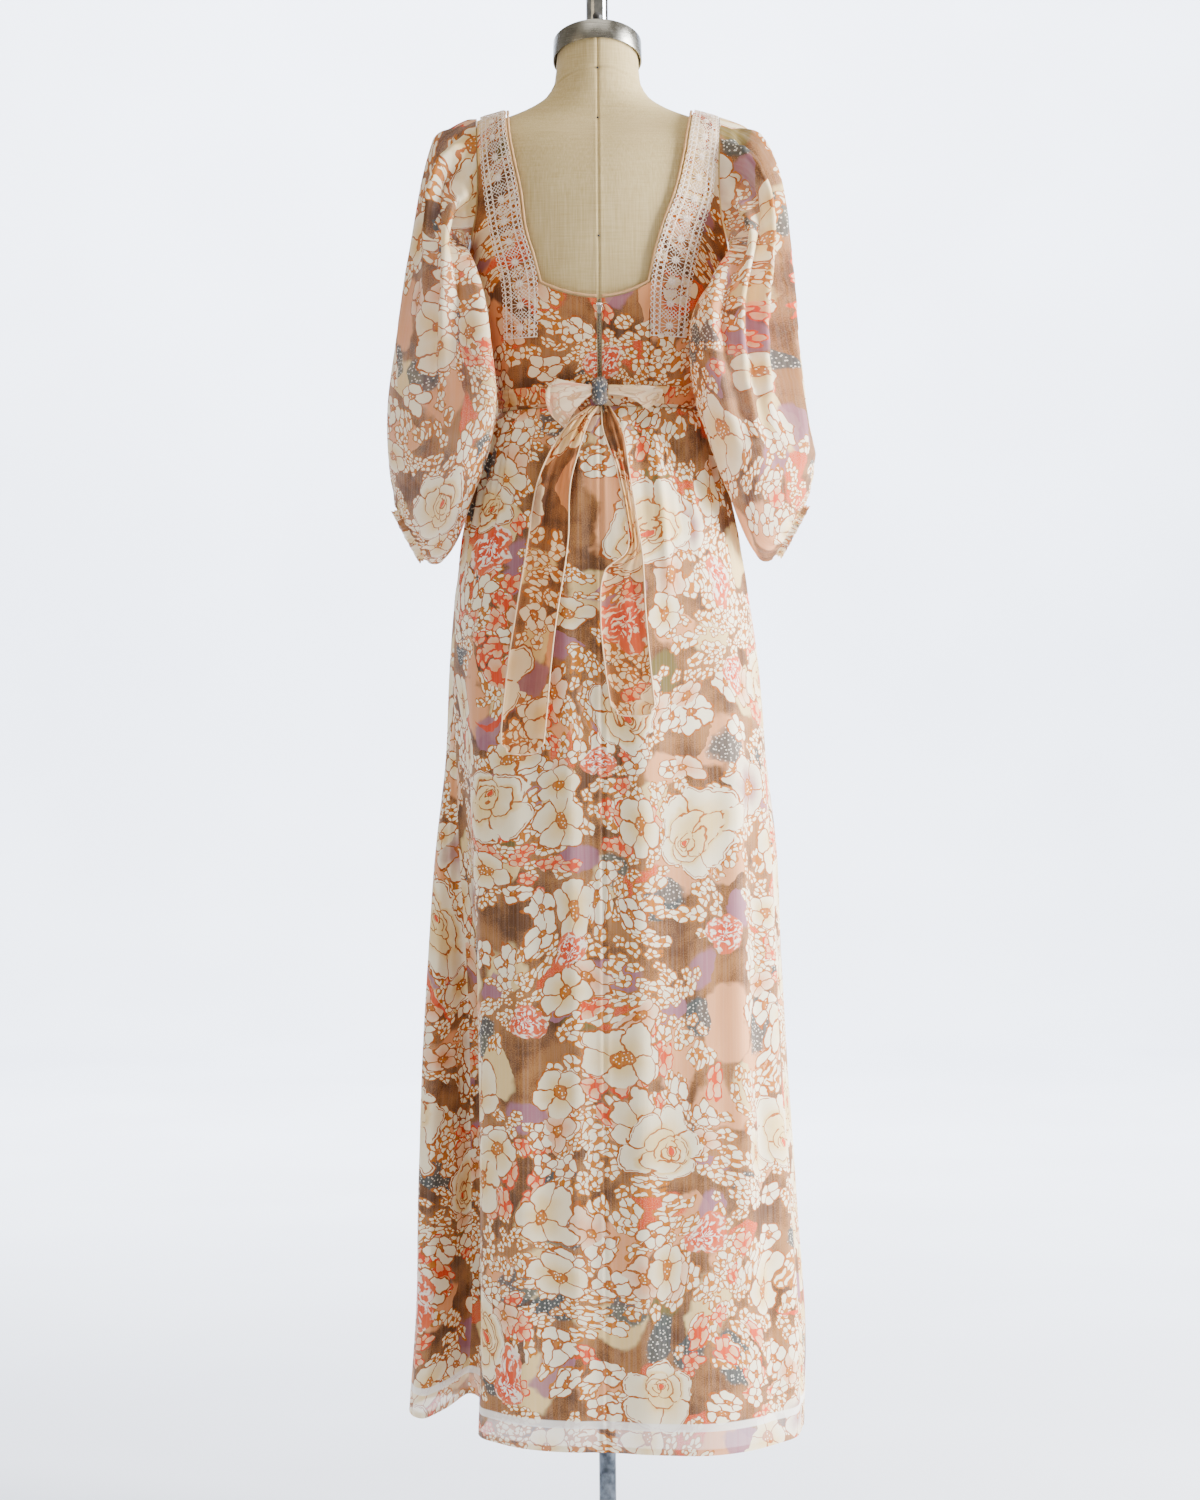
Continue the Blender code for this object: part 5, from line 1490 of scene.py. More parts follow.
def sleeve_rings(rows):
    """The sleeve's own rings, from the armhole down, in its own half."""
    angle = 2 * math.pi * np.arange(SLEEVE_COLUMNS) / SLEEVE_COLUMNS
    rings = [armhole_ring(angle)]
    for i, row in enumerate(rows):
        outer = np.array((row.outer_x, row.outer_y, row.outer_z))
        inner = np.array((row.inner_x, row.inner_y, row.inner_z))
        along, across = rounded(angle, 1, row.depth)
        ring = (outer + inner) / 2 + (outer - inner) / 2 * along[:, None]
        ring = ring - np.stack([np.zeros_like(across), across, np.zeros_like(across)], -1)
        rings.append(clear_of_body(ring, CAP_CLEAR if i < 2 else BODY_CLEAR))
    return np.array(rings)


def flow(rings, steps):
    """Smooth rows through rings: a curve through each column's points."""
    count = len(rings)
    at = np.linspace(0, count - 1, (count - 1) * steps + 1)
    i = np.clip(at.astype(int), 0, count - 2)
    t = (at - i)[:, None, None]
    p = [rings[np.clip(i + n, 0, count - 1)] for n in (-1, 0, 1, 2)]
    p[0] = np.where((i == 0)[:, None, None], 2 * rings[0] - rings[1], p[0])
    p[3] = np.where((i == count - 2)[:, None, None], 2 * rings[-1] - rings[-2], p[3])
    middle = (p[2] - p[0]) * t + (2 * p[0] - 5 * p[1] + 4 * p[2] - p[3]) * t * t
    return p[1] + (middle + (3 * p[1] - p[0] - 3 * p[2] + p[3]) * t**3) / 2, at


# angle is in degrees from the outer line, round by the back; start and end count rings
SLEEVE_FOLD = "angle slant start end width depth"
LEFT_FOLDS = table(
    SLEEVE_FOLD,
    (62, 2, 0.2, 6.5, 0.010, 0.0050),
    (84, 0, 0.2, 9.0, 0.012, -0.0050),
    (104, -2, 0.1, 7.5, 0.010, 0.0055),
    (126, -2, 0.4, 8.0, 0.013, -0.0040),
    (146, 0, 0.6, 9.5, 0.011, 0.0045),
    (34, 3, 0.3, 5.0, 0.011, -0.0035),
    (12, 2, 1.0, 7.0, 0.012, 0.0030),
    (-30, 0, 0.4, 7.0, 0.012, 0.0040),
    (-58, 2, 0.2, 8.0, 0.012, -0.0045),
    (-92, 0, 0.2, 8.0, 0.013, 0.0045),
    (-128, 0, 0.4, 9.0, 0.013, -0.0040),
)
RIGHT_FOLDS = table(
    SLEEVE_FOLD,
    (150, -4, 0.6, 9.0, 0.011, 0.0050),
    (128, -3, 0.2, 10.5, 0.010, -0.0060),
    (108, -1, 0.2, 10.5, 0.010, 0.0065),
    (88, 0, 0.2, 10.0, 0.011, -0.0055),
    (68, 2, 0.2, 9.5, 0.010, 0.0055),
    (46, 3, 0.4, 8.5, 0.011, -0.0045),
    (24, 3, 0.6, 10.0, 0.010, 0.0040),
    (-6, 0, 1.0, 9.0, 0.012, -0.0030),
    (-34, 0, 0.4, 8.0, 0.012, 0.0045),
    (-66, 2, 0.2, 8.0, 0.012, -0.0045),
    (-98, 0, 0.2, 9.0, 0.013, 0.0045),
    (-134, 0, 0.4, 9.0, 0.013, -0.0040),
)
CUFF_PLEATS = 38


def sleeve_shape(rings, folds, seed):
    """All of a sleeve's points in its own half, with its folds and gathers, and its UVs."""
    base, at = flow(rings, SLEEVE_STEPS)
    low_rows = 9 * SLEEVE_STEPS
    for n in range(SMOOTHING_LOW):
        first = 1 if n < SMOOTHING else low_rows
        base[first:-1] = base[first:-1] * 0.5 + (base[first + 1 :] + base[first - 1 : -2]) * 0.25
    degrees = 360 * np.arange(SLEEVE_COLUMNS) / SLEEVE_COLUMNS
    inner_side = ((1 - np.cos(np.radians(degrees))) / 2) ** 2
    base[..., 0] -= 0.0100 * bump(base[..., 2] - SEAM_Z, 0.055) * inner_side[None, :]
    out = normals(base, closed=True, centre=base.mean(axis=1, keepdims=True))
    round_length = lengths(np.concatenate([base, base[:, :1]], axis=1))
    total, run = round_length[:, -1:], round_length[:, :-1]
    level = at[:, None]
    last = len(rings) - 1

    def away_from(column):
        """Distance round each ring from the point of its column."""
        column = np.broadcast_to(column, level.shape).astype(int) % SLEEVE_COLUMNS
        return (run - np.take_along_axis(run, column, axis=1) + total / 2) % total - total / 2

    shift = np.zeros(run.shape)
    for fold in folds:
        column = (fold.angle + fold.slant * level) % 360 / 360 * SLEEVE_COLUMNS
        swell = soft_step((level - fold.start) / 1.0) * soft_step((fold.end - level) / 2.5)
        width = fold.width * (0.75 + 0.05 * level)
        shift += SLEEVE_FOLD_GAIN * fold.depth * swell * bump(away_from(column), width)
    rng = np.random.default_rng(seed)
    for n in range(CAP_GATHERS):
        turn = rng.uniform(0, 1) if n > CAP_GATHERS_BEHIND else rng.uniform(0.08, 0.46)
        near_top = math.cos(2 * math.pi * turn) * 0.4 + 0.6
        fade = soft_step(level / 0.25) * soft_step((rng.uniform(0.9, 2.4) - level) / 1.0)
        depth = rng.choice((-1, 1)) * rng.uniform(0.0012, 0.0030) * near_top
        shift += depth * fade * bump(away_from(turn * SLEEVE_COLUMNS), rng.uniform(0.003, 0.006))
    for n in range(CUFF_GATHERS):
        turn = (n + rng.uniform(-0.3, 0.3)) / CUFF_GATHERS
        reach = rng.uniform(0.9, 2.6)
        depth = (1 if n % 2 else -1) * rng.uniform(0.0016, 0.0032)
        fade = soft_step((level - (last - reach)) / reach)
        shift += depth * fade * bump(away_from(turn * SLEEVE_COLUMNS), 0.0040)
    shift += 0.0010 * wander(degrees[None, :] / 70, level / 3.2, seed + 1) * soft_step(level / 0.8)
    shift *= 1 - 0.85 * soft_step((level - (last - 0.35)) / 0.35)
    points = clear_of_body(base + out * shift[..., None], 0.0062)
    points[0] = rings[0]
    down = np.linalg.norm(np.diff(base, axis=0), axis=2).mean(axis=1)
    down = np.concatenate([[0], np.cumsum(down)])
    share = np.arange(SLEEVE_COLUMNS + 1) / SLEEVE_COLUMNS
    u, v = np.broadcast_arrays((share * SLEEVE_CLOTH)[None, :], -down[:, None])
    return points, np.stack([u, v], -1)


def make_sleeves():
    sides = ((-1, "left", LEFT_SLEEVE, LEFT_FOLDS), (1, "right", RIGHT_SLEEVE, RIGHT_FOLDS))
    for side, name, rows, folds in sides:
        points, uv = sleeve_shape(sleeve_rings(rows), folds, 40 + side)
        points = points * np.array((side, 1, 1))
        obj = grid("sleeve_shell_" + name, points, cut_from(uv, "sleeve", side), closed=True)
        finish_piece(obj, SHEER, "printed_chiffon", "sleeve_" + name)
        make_cuff(side, name, points[-1])


def make_cuff(side, name, edge):
    """The elastic at the wrist: a narrow frill of small pleats, with its channel's two lines."""
    count = SLEEVE_COLUMNS * 2
    at = np.arange(count) / 2
    low = at.astype(int) % SLEEVE_COLUMNS
    ring = edge[low] + (edge[(low + 1) % SLEEVE_COLUMNS] - edge[low]) * (at - at.astype(int))[:, None]
    way = CUFF_WAY * np.array((side, 1, 1))
    centre = ring.mean(axis=0)
    radial = ring - centre
    radial = radial - way * np.sum(radial * way, axis=1, keepdims=True)
    radial = radial / np.linalg.norm(radial, axis=1, keepdims=True)
    angle = 2 * math.pi * np.arange(count) / count
    rng = np.random.default_rng(91 + side)
    phase = angle * CUFF_PLEATS + 0.9 * np.sin(angle * 3 + rng.uniform(0, 6)) + 0.5 * np.sin(angle * 7)
    rows = []
    # two puffs with the elastic's channel between them, then the free edge
    for along, size, inset in (
        (-0.0004, 0.0003, 0.0000),
        (0.0010, 0.0008, 0.0010),
        (0.0022, 0.0005, 0.0026),
        (0.0038, 0.0010, 0.0012),
        (0.0054, 0.0005, 0.0026),
        (0.0066, 0.0009, 0.0012),
        (0.0078, 0.0009, 0.0006),
    ):
        swell = size * np.sin(phase) - inset
        sway = 0.0002 * np.cos(phase) * (along / CUFF_DEPTH)
        rows.append(ring + way * (along + sway)[:, None] + radial * swell[:, None])
    u = np.arange(count + 1) / count * SLEEVE_CLOTH
    uv = np.stack(np.broadcast_arrays(u[None, :], -np.arange(len(rows))[:, None] * 0.0015), -1)
    obj = grid("cuff_frill_" + name, np.array(rows), cut_from(uv, "cuff", side), closed=True)
    finish_piece(obj, CUFF_CLOTH, "printed_chiffon", "cuff_" + name)
    "sleeve_shell_" + name


# ------------------------------------------------------------------ skirt
# place counts HEM_PLAN's points; the ones that the back shows, then soft long folds
GATHER = "place width depth top bottom"
GATHERS = table(
    GATHER,
    (2.15, 0.0060, 0.0030, 1.262, 1.060),
    (1.62, 0.0050, -0.0018, 1.262, 1.120),
    (1.25, 0.0065, 0.0032, 1.262, 1.030),
    (0.98, 0.0045, -0.0016, 1.262, 1.130),
    (0.80, 0.0048, 0.0030, 1.262, 1.080),
    (0.55, 0.0045, -0.0018, 1.262, 1.100),
    (0.30, 0.0045, 0.0024, 1.262, 1.110),
    (18.72, 0.0048, 0.0026, 1.262, 1.090),
    (18.50, 0.0055, -0.0020, 1.262, 1.050),
    (18.30, 0.0058, 0.0034, 1.262, 1.020),
    (18.02, 0.0052, -0.0020, 1.262, 1.080),
    (17.80, 0.0060, 0.0030, 1.262, 1.060),
    (17.45, 0.0060, 0.0030, 1.262, 1.090),
)
FOLDS = table(
    GATHER,
    (1.55, 0.020, 0.0044, 1.20, 0.10),
    (0.85, 0.018, -0.0020, 1.12, 0.30),
    (0.45, 0.014, 0.0034, 1.22, 0.10),
    (18.62, 0.018, 0.0040, 1.20, 0.10),
    (18.20, 0.018, -0.0020, 1.10, 0.30),
    (17.48, 0.018, 0.0066, 1.10, 0.30),
    (17.10, 0.016, -0.0040, 0.98, 0.10),
    (16.70, 0.018, 0.0045, 1.00, 0.10),
    (16.20, 0.018, -0.0040, 0.95, 0.10),
    (15.60, 0.020, 0.0040, 1.00, 0.10),
    (14.80, 0.022, -0.0045, 0.95, 0.10),
    (13.90, 0.022, 0.0050, 1.05, 0.10),
    (13.10, 0.020, -0.0040, 1.00, 0.10),
    (12.50, 0.020, 0.0040, 1.05, 0.10),
    (11.80, 0.022, -0.0035, 0.98, 0.10),
    (11.10, 0.022, 0.0045, 1.02, 0.10),
    (10.30, 0.020, -0.0040, 1.00, 0.10),
    (9.60, 0.018, 0.0040, 0.95, 0.10),
    (8.40, 0.010, 0.0024, 0.90, 0.10),
    (2.60, 0.010, 0.0020, 1.02, 0.10),
)
# the side seams and the front's middle, in HEM_PLAN's points from the back's middle
SIDE_LEFT, SIDE_RIGHT, FRONT_MIDDLE = 6.0, -3.0, 12.0
GATHER_GAIN, FOLD_GAIN, LINING_FOLDS = 1.35, 1.4, 0.75
FINE_GATHERS = 96


def skirt_shape(places, heights, scale, inward=0.0):
    """The skirt with its gathers and folds, and the run along each ring from the back's middle."""
    base = skirt_points(heights, places)
    across = np.roll(base, -1, 1) - np.roll(base, 1, 1)
    out = np.stack([-across[..., 1], across[..., 0], np.zeros(base.shape[:2])], -1)
    out = out / np.linalg.norm(out, axis=2, keepdims=True)
    if np.sum(out * base, axis=2).mean() < 0:
        out = -out
    full = lengths(np.concatenate([base, base[:, :1]], axis=1))
    total, run = full[:, -1:], full[:, :-1]
    z = np.asarray(heights)[:, None]
    shift = np.zeros(run.shape)

    def add(place, width, depth, top, bottom, rise, fall):
        where = np.interp((place - SIDE_RIGHT) % len(HEM_PLAN) + SIDE_RIGHT, places, np.arange(len(places)))
        i = int(where)
        centre = run[:, i : i + 1] + (run[:, i + 1 : i + 2] - run[:, i : i + 1]) * (where - i)
        gone = (run - centre + total / 2) % total - total / 2
        window = soft_step((top - z) / rise) * soft_step((z - bottom) / fall)
        shift[...] += depth * window * bump(gone, width)

    for rows, gain, rise, fall in ((GATHERS, GATHER_GAIN, 0.014, 0.120), (FOLDS, FOLD_GAIN, 0.250, 0.200)):
        for row in rows:
            add(row.place, row.width, row.depth * gain, row.top, row.bottom, rise, fall)
    rng = np.random.default_rng(3)
    for n in range(FINE_GATHERS):
        place = (n + rng.uniform(-0.35, 0.35)) / FINE_GATHERS * len(HEM_PLAN)
        depth = (1 if n % 2 else -1) * rng.uniform(0.0009, 0.0024)
        seen = 17.2 < place % len(HEM_PLAN) or place % len(HEM_PLAN) < 2.4
        bottom = rng.uniform(1.08, 1.21) if seen else rng.uniform(1.02, 1.19)
        add(place, rng.uniform(0.0024, 0.0050), depth * (0.6 if seen else 1.5), 1.2615, bottom, 0.010, 0.060)
    shift += 0.0009 * wander(run * 6.0, z * 2.2, 8) * soft_step((1.20 - z) / 0.2)
    if not inward:
        middle = np.minimum(run - run[:, np.argmin(np.abs(places))][:, None], total)
        middle = (middle + total / 2) % total - total / 2
        shift -= 0.0016 * bump(middle, 0.0017)
        shift += 0.0005 * bump(np.abs(middle) - 0.0045, 0.0022)
    return base + out * (shift * scale - inward)[..., None], run


def skirt_corners(places, run, z):
    """UV corners for each square: the back panel's metres, and the front panel's past the sides."""
    nearest = [int(np.argmin(np.abs(places - p))) for p in (0.0, FRONT_MIDDLE)]
    wrapped = np.concatenate([run, run[:, -1:] + (run[:, -1:] - run[:, -2:-1])], axis=1)
    back = wrapped - run[:, nearest[0] : nearest[0] + 1]
    front = wrapped - run[:, nearest[1] : nearest[1] + 1] + FRONT_SKIRT_SHIFT
    at_back = (places < SIDE_LEFT)[None, :]
    left = np.where(at_back, back[:, :-1], front[:, :-1])
    right = np.where(at_back, back[:, 1:], front[:, 1:])
    v = np.broadcast_to(z[:, None], left.shape)
    corner = [(left[:-1], v[:-1]), (right[:-1], v[:-1]), (right[1:], v[1:]), (left[1:], v[1:])]
    return np.stack([np.stack(pair, -1) for pair in corner], 2)


def skirt_places(per_point, seam=True):
    places = SIDE_RIGHT + np.arange(len(HEM_PLAN) * per_point) / per_point
    if seam:
        extra = np.array([0.014, 0.026, 0.040, 0.056, 0.075])
        places = np.sort(np.concatenate([places, -extra, extra]))
    return places


def outer_tube(name, places, heights, tuck, *nodes):
    """A closed piece of the outer skirt between two heights."""
    points, run = skirt_shape(places, heights, 1.0)
    points = points - outward(points) * tuck
    obj = grid(name, points, skirt_corners(places, run, heights), closed=True)
    return finish_piece(obj, SKIRT_CLOTH, "printed_chiffon", *nodes)


def lining_tube(name, finish, places, heights, inward, *nodes):
    """A closed piece of the lining, whose folds are softer, between two heights."""
    points, run = skirt_shape(places, heights, LINING_FOLDS, inward)
    obj = grid(name, points, skirt_corners(places, run, heights), closed=True)
    return finish_piece(obj, finish, "off_white_lining", *nodes)


def make_skirt():
    hem = SKIRT_RINGS[-1].z
    places = skirt_places(29)
    heights = np.concatenate([np.linspace(SKIRT_RINGS[0].z, 1.205, 26), np.linspace(1.205, hem, 146)[1:]])
    skirt = outer_tube("skirt_shell", places, heights, 0.0, "skirt")
    band = outer_tube("skirt_hem", places, np.linspace(hem + 0.0065, hem, 5), 0.0005)

    places = skirt_places(22, seam=False)
    heights = np.concatenate([np.linspace(1.2560, 1.200, 14), np.linspace(1.200, LINING_HEM, 100)[1:]])
    lining = lining_tube("lining_shell", LINING, places, heights, LINING_IN, "skirt_lining")
    heights = np.linspace(LINING_HEM + 0.0075, LINING_HEM, 5)
    # the hem band takes the lighter copy of the lining cloth, which is painted light
    lining_band = lining_tube("lining_hem", LIT_LINING_BAND, places, heights, LINING_IN - 0.0005)
    return skirt


def outward(points):
    away = points * np.array((1, 1, 0))
    return away / np.maximum(np.linalg.norm(away, axis=2, keepdims=True), 1e-9)


# ------------------------------------------------------------------ sash and bow
def make_sash():
    for side, name in SIDES:
        share = np.linspace(0, 1, 110)
        across = np.linspace(0, 1, 22)
        angle = np.radians(0.4 + (90 - 0.4) * share)[None, :]
        z = (SASH_BOTTOM + (SASH_TOP - SASH_BOTTOM) * across)[:, None]
        pinch = 1 - 0.45 * bump(share - 0.02, 0.14)[None, :]
        z = (z - 1.2745) * pinch + 1.2745
        x = form_width(z, SASH_OUT) * np.sin(angle) ** (2 / ROUNDNESS)
        y = form_y(x, z, SASH_OUT, -1)
        y[:, -1] = -GAP
        points = np.stack([side * x, y, z], -1)
        crease = 0.0008 * wander(share[None, :] * 2.2, across[:, None] * 2.4, 60 + side)
        crease += 0.0006 * np.sin(across[:, None] * 15 + 2.0 * np.sin(share[None, :] * 5))
        rolled = -0.0010 * (bump(across - 0.0, 0.07) + bump(across - 1.0, 0.07))[:, None]
        points = points + normals(points) * (crease + rolled + 0.0006)[..., None]
        uv = np.stack([lengths(points) * side, z + np.zeros_like(x)], -1)
        obj = grid("belt_" + name, points, cut_from(uv, "belt"))
        finish_piece(obj, RIBBON, "printed_chiffon", "sash_" + name)


def knot_y():
    return float(form_y(0, KNOT_Z, SASH_OUT, -1)) - CLOTH / 2 - 0.0005 - KNOT[1]


def make_knot():
    """The knot: a small pulled-in bundle with upright creases."""
    rows, columns = 40, 72
    tilt = np.linspace(-math.pi / 2 + 0.02, math.pi / 2 - 0.02, rows)[:, None]
    turn = (2 * math.pi * np.arange(columns) / columns)[None, :]
    flat = np.sign(np.cos(tilt)) * np.abs(np.cos(tilt)) ** 0.62
    x = KNOT[0] * flat * np.cos(turn)
    y = KNOT[1] * flat * np.sin(turn)
    z = KNOT[2] * 0.98 * np.sin(tilt) + np.zeros_like(x)
    points = np.stack([x, y, z], -1)
    crease = -0.0011 * bump(np.sin(turn * 2.5 + 0.7 * tilt), 0.35) + 0.0005 * wander(turn, tilt * 0.6, 71)
    pinch = 1 - 0.13 * bump(tilt - 0.1, 0.5)
    out = points / np.linalg.norm(points * np.array((1, 1, 0.35)), axis=2, keepdims=True)
    points = points * np.stack(np.broadcast_arrays(pinch, pinch, np.ones_like(x)), -1)
    points = points + out * (crease * np.cos(tilt))[..., None]
    points = np.clip(points, -np.array(KNOT), np.array(KNOT)) + np.array((0, knot_y(), KNOT_Z))
    u = np.arange(columns + 1)[None, :] / columns * 0.05
    u, v = np.broadcast_arrays(u, np.linspace(0, 0.03, rows)[:, None])
    obj = grid("bow_middle", points, cut_from(np.stack([u, v], -1), "knot"), closed=True)
    finish_piece(obj, KNOT_CLOTH, "printed_chiffon", "bow_knot")


LOOPS = table(
    "side name length swell droop tip cut",
    (-1, "left", 0.0480, 0.0205, 0.009, 0.0130, (0.115, 0.038)),
    (1, "right", 0.0570, 0.0054, 0.002, 0.0160, (0.125, 0.0175)),
)


def make_loops():
    for loop in LOOPS:
        t = np.linspace(0, 1, 72)[None, :]
        share = np.linspace(-1, 1, 26)[:, None]
        reach = np.sin(math.pi * t)
        y = knot_y() + 0.0050 * np.cos(math.pi * t) - 0.0065 * reach
        near = KNOT[0] * 0.95
        drawn_in = 0.26 * np.abs(share) ** 3 + (0.16 if loop.side < 0 else 0.03) * np.maximum(-share, 0) ** 2
        x = near + loop.length * reach * (1 - drawn_in)
        half = 0.0052 + (loop.swell - 0.0052) * reach**1.2
        front = soft_step((t - 0.35) / 0.3)
        droop = loop.droop * reach + loop.tip * reach**3 * np.maximum(-share, 0) ** 1.5 * (0.6 + 0.4 * front)
        z = KNOT_Z + 0.001 + share * half - droop
        crease = 0.0012 * wander(t * 1.8, share * 0.9, 80 + loop.side) * reach
        crease += 0.0016 * np.sin(share * 5.0 + 2.5 * t) * (1 - reach) * 0.8
        cup = -0.0030 * (1 - share**2) * reach * (1 - 2 * front)
        points = np.stack([loop.side * (x + 0 * share), y + crease + cup, z + 0 * t], -1)
        uv = np.stack(np.broadcast_arrays(t * 0.115, share * 0.022), -1)
        obj = grid("bow_ear_" + loop.name, points, cut_from(uv, "loop", loop.side))
        finish_piece(obj, LOOP_CLOTH, "printed_chiffon", "bow_loop_" + loop.name)


def make_tails(skirt):
    corners = [v.co.copy() for v in skirt.data.vertices]
    tree = BVHTree.FromPolygons(corners, [p.vertices[:] for p in skirt.data.polygons])

    def skirt_front(x, z):
        """The skirt's nearest y round each x, so that a tail bridges the folds under it."""
        found = np.full(len(x), 9.0)
        for shift in (-0.009, -0.0045, 0.0, 0.0045, 0.009):
            for n, value in enumerate(x):
                hit = tree.ray_cast((float(value) + shift, -0.5, float(z)), (0.0, 1.0, 0.0))[0]
                if hit is not None:
                    found[n] = min(found[n], hit.y)
        return found

    for name, sign, rows in (("left", -1, LEFT_TAIL), ("right", 1, RIGHT_TAIL)):
        z = np.linspace(rows[0].z, rows[-1].z, 150)
        share = np.linspace(-0.5, 0.5, 25)
        middle = track(name + "_tail", "x", z)
        width = track(name + "_tail", "width", z)
        slack = np.sqrt(np.maximum(TAIL_CLOTH**2 - width**2, 0)) / TAIL_CLOTH
        end = soft_step((rows[-1].z + 0.012 - z) / 0.012)
        points = np.empty((len(z), len(share), 3))
        for r, level in enumerate(z):
            round_off = 1 - 0.22 * end[r] * np.abs(share * 2) ** 6
            x = middle[r] + width[r] * share * round_off
            y = np.minimum(skirt_back_y(x, level), skirt_front(x, level)) - TAIL_OUT
            fold = slack[r] ** 1.6 * 0.0046 * np.sin(share * 2 * math.pi * 1.5 + 0.8 + 3 * level)
            y = y - np.abs(fold) - 0.0008 * wander(share * 1.5, level * 9, 95 + sign)
            y = y - 0.0016 * bump(np.abs(share) - 0.5, 0.05) - 0.0020
            if level > 1.240:
                y = np.minimum(y, knot_y() + 0.004)
            points[r] = np.stack([x, y, level + end[r] * 0.004 * (np.abs(share * 2) ** 3)], -1)
        uv = np.stack(np.broadcast_arrays(share[None, :] * TAIL_CLOTH, z[:, None]), -1)
        obj = grid("bow_streamer_" + name, points, cut_from(uv, "tail", sign))
        finish_piece(obj, RIBBON, "printed_chiffon", "bow_tail_" + name)
        0.375 if sign < 0 else 0.335
        rim = tubes("streamer_edge_" + name, [points[:, 0], points[:, -1], points[-1]], 0.0008)
        finish_piece(rim, RIBBON_EDGE, "printed_chiffon")


# ------------------------------------------------------------------ zip
def make_zip():
    low, high = SEAM_Z + 0.001, BACK_CENTRE_Z - 0.001
    z = np.linspace(low, high, 60)[:, None]
    for side, name in SIDES:
        x = np.linspace(0.0022, 0.0140, 10)[None, :]
        y = form_y(x, z, CLOTH_OUT - 0.0021, -1)
        points = np.stack([side * x + 0 * z, y, z + 0 * x], -1)
        uv = np.stack([np.abs(points[..., 0]), points[..., 2]], -1)
        obj = grid("tape_" + name, points, uv)
        finish_piece(obj, TAPE, "zip_tape", "zip_tape_" + name)
    teeth = []
    count = int((high - low) / 0.0016)
    for n in range(count):
        level = low + (n + 0.5) * (high - low) / count
        if abs(level - SLIDER_Z) < SLIDER[2] / 2:
            continue
        y = float(form_y(0, level, CLOTH_OUT, -1))
        lean = 0.0004 if n % 2 else -0.0004
        teeth.append([(-0.0012 + lean, y, level), (0.0012 + lean, y, level)])
    finish_piece(tubes("zip_teeth", teeth, 0.0006, 8), ZIP_METAL, "zip_metal", "zip_chain")

    surface = float(form_y(0, SLIDER_Z, CLOTH_OUT, -1))
    front = surface - 0.0012 - SLIDER[1]
    axis_y = front - EAR_REACH / 2 - 0.0002
    axis_z = SLIDER_Z + SLIDER[2] / 2 - 0.0014
    middle = front + SLIDER[1] / 2
    outline = []
    for t in np.linspace(0, 1, 16):
        half = SLIDER[0] / 2 * (0.72 + 0.28 * soft_step((t - 0.15) / 0.5))
        outline.append((half, SLIDER_Z + SLIDER[2] * (t - 0.5)))
    rows = []
    for half, level in outline:
        ring = []
        for n in range(24):
            c, s = math.cos(2 * math.pi * n / 24), math.sin(2 * math.pi * n / 24)
            x = half * math.copysign(abs(c) ** 0.5, c)
            ring.append((x, middle + SLIDER[1] / 2 * math.copysign(abs(s) ** 0.6, s), level))
        rows.append(ring)
    ends = [[(0, middle, outline[n][1])] * 24 for n in (0, -1)]
    rows = [ends[0], *rows, ends[1]]
    slider = grid("slider_body", np.array(rows), closed=True)
    rework(slider.data, weld)
    ears = []
    for side in (-1, 1):
        x = side * (SLIDER[0] / 2 - 0.00045)
        ear = [(front + 0.0004, -0.0012), (axis_y - 0.0003, -0.0006), (axis_y - 0.0004, 0.0006)]
        ears.append([(x, y, axis_z + z) for y, z in ear + [(front + 0.0004, 0.0012)]])
    ear_obj = tubes("slider_ears", ears, 0.00045, 10)
    finish_piece(slider, ZIP_BRIGHT, "zip_metal", "zip_slider")
    finish_piece(ear_obj, ZIP_BRIGHT, "zip_metal")

    outer, hole = [], []
    for angle in 2 * math.pi * np.arange(40) / 40:
        c, s = math.cos(angle), math.sin(angle)
        outer.append((0.0023 * c * (0.55 + 0.45 * (0.5 - 0.5 * s) ** 0.7), -0.0055 + 0.0049 * s))
        hole.append((0.0009 * c, -0.0074 + 0.0011 * s))
    thick = 0.00045
    rows = []
    for ring, y in ((hole, -thick), (outer, -thick * 0.7), (outer, thick * 0.7), (hole, thick), (hole, -thick)):
        rows.append([(x, axis_y + y, axis_z + z) for x, z in ring])
    pull = grid("pull_drop", np.array(rows), closed=True)
    rework(pull.data, weld)
    pull.data.set_sharp_from_angle(angle=math.radians(40))
    finish_piece(pull, ZIP_BRIGHT, "zip_metal", "zip_pull", body="pull")
    bar = tubes("pull_bar", [[(x, axis_y, axis_z) for x in (-0.0020, 0.0, 0.0020)]], 0.0006, 12)
    finish_piece(bar, ZIP_BRIGHT, "zip_metal", body="pull")


# ------------------------------------------------------------------ stage, light and camera
PAPER_START, PAPER_BEND, BEND_RADIUS, PAPER_TOP = -6.0, 5.4, 1.2, 7.0


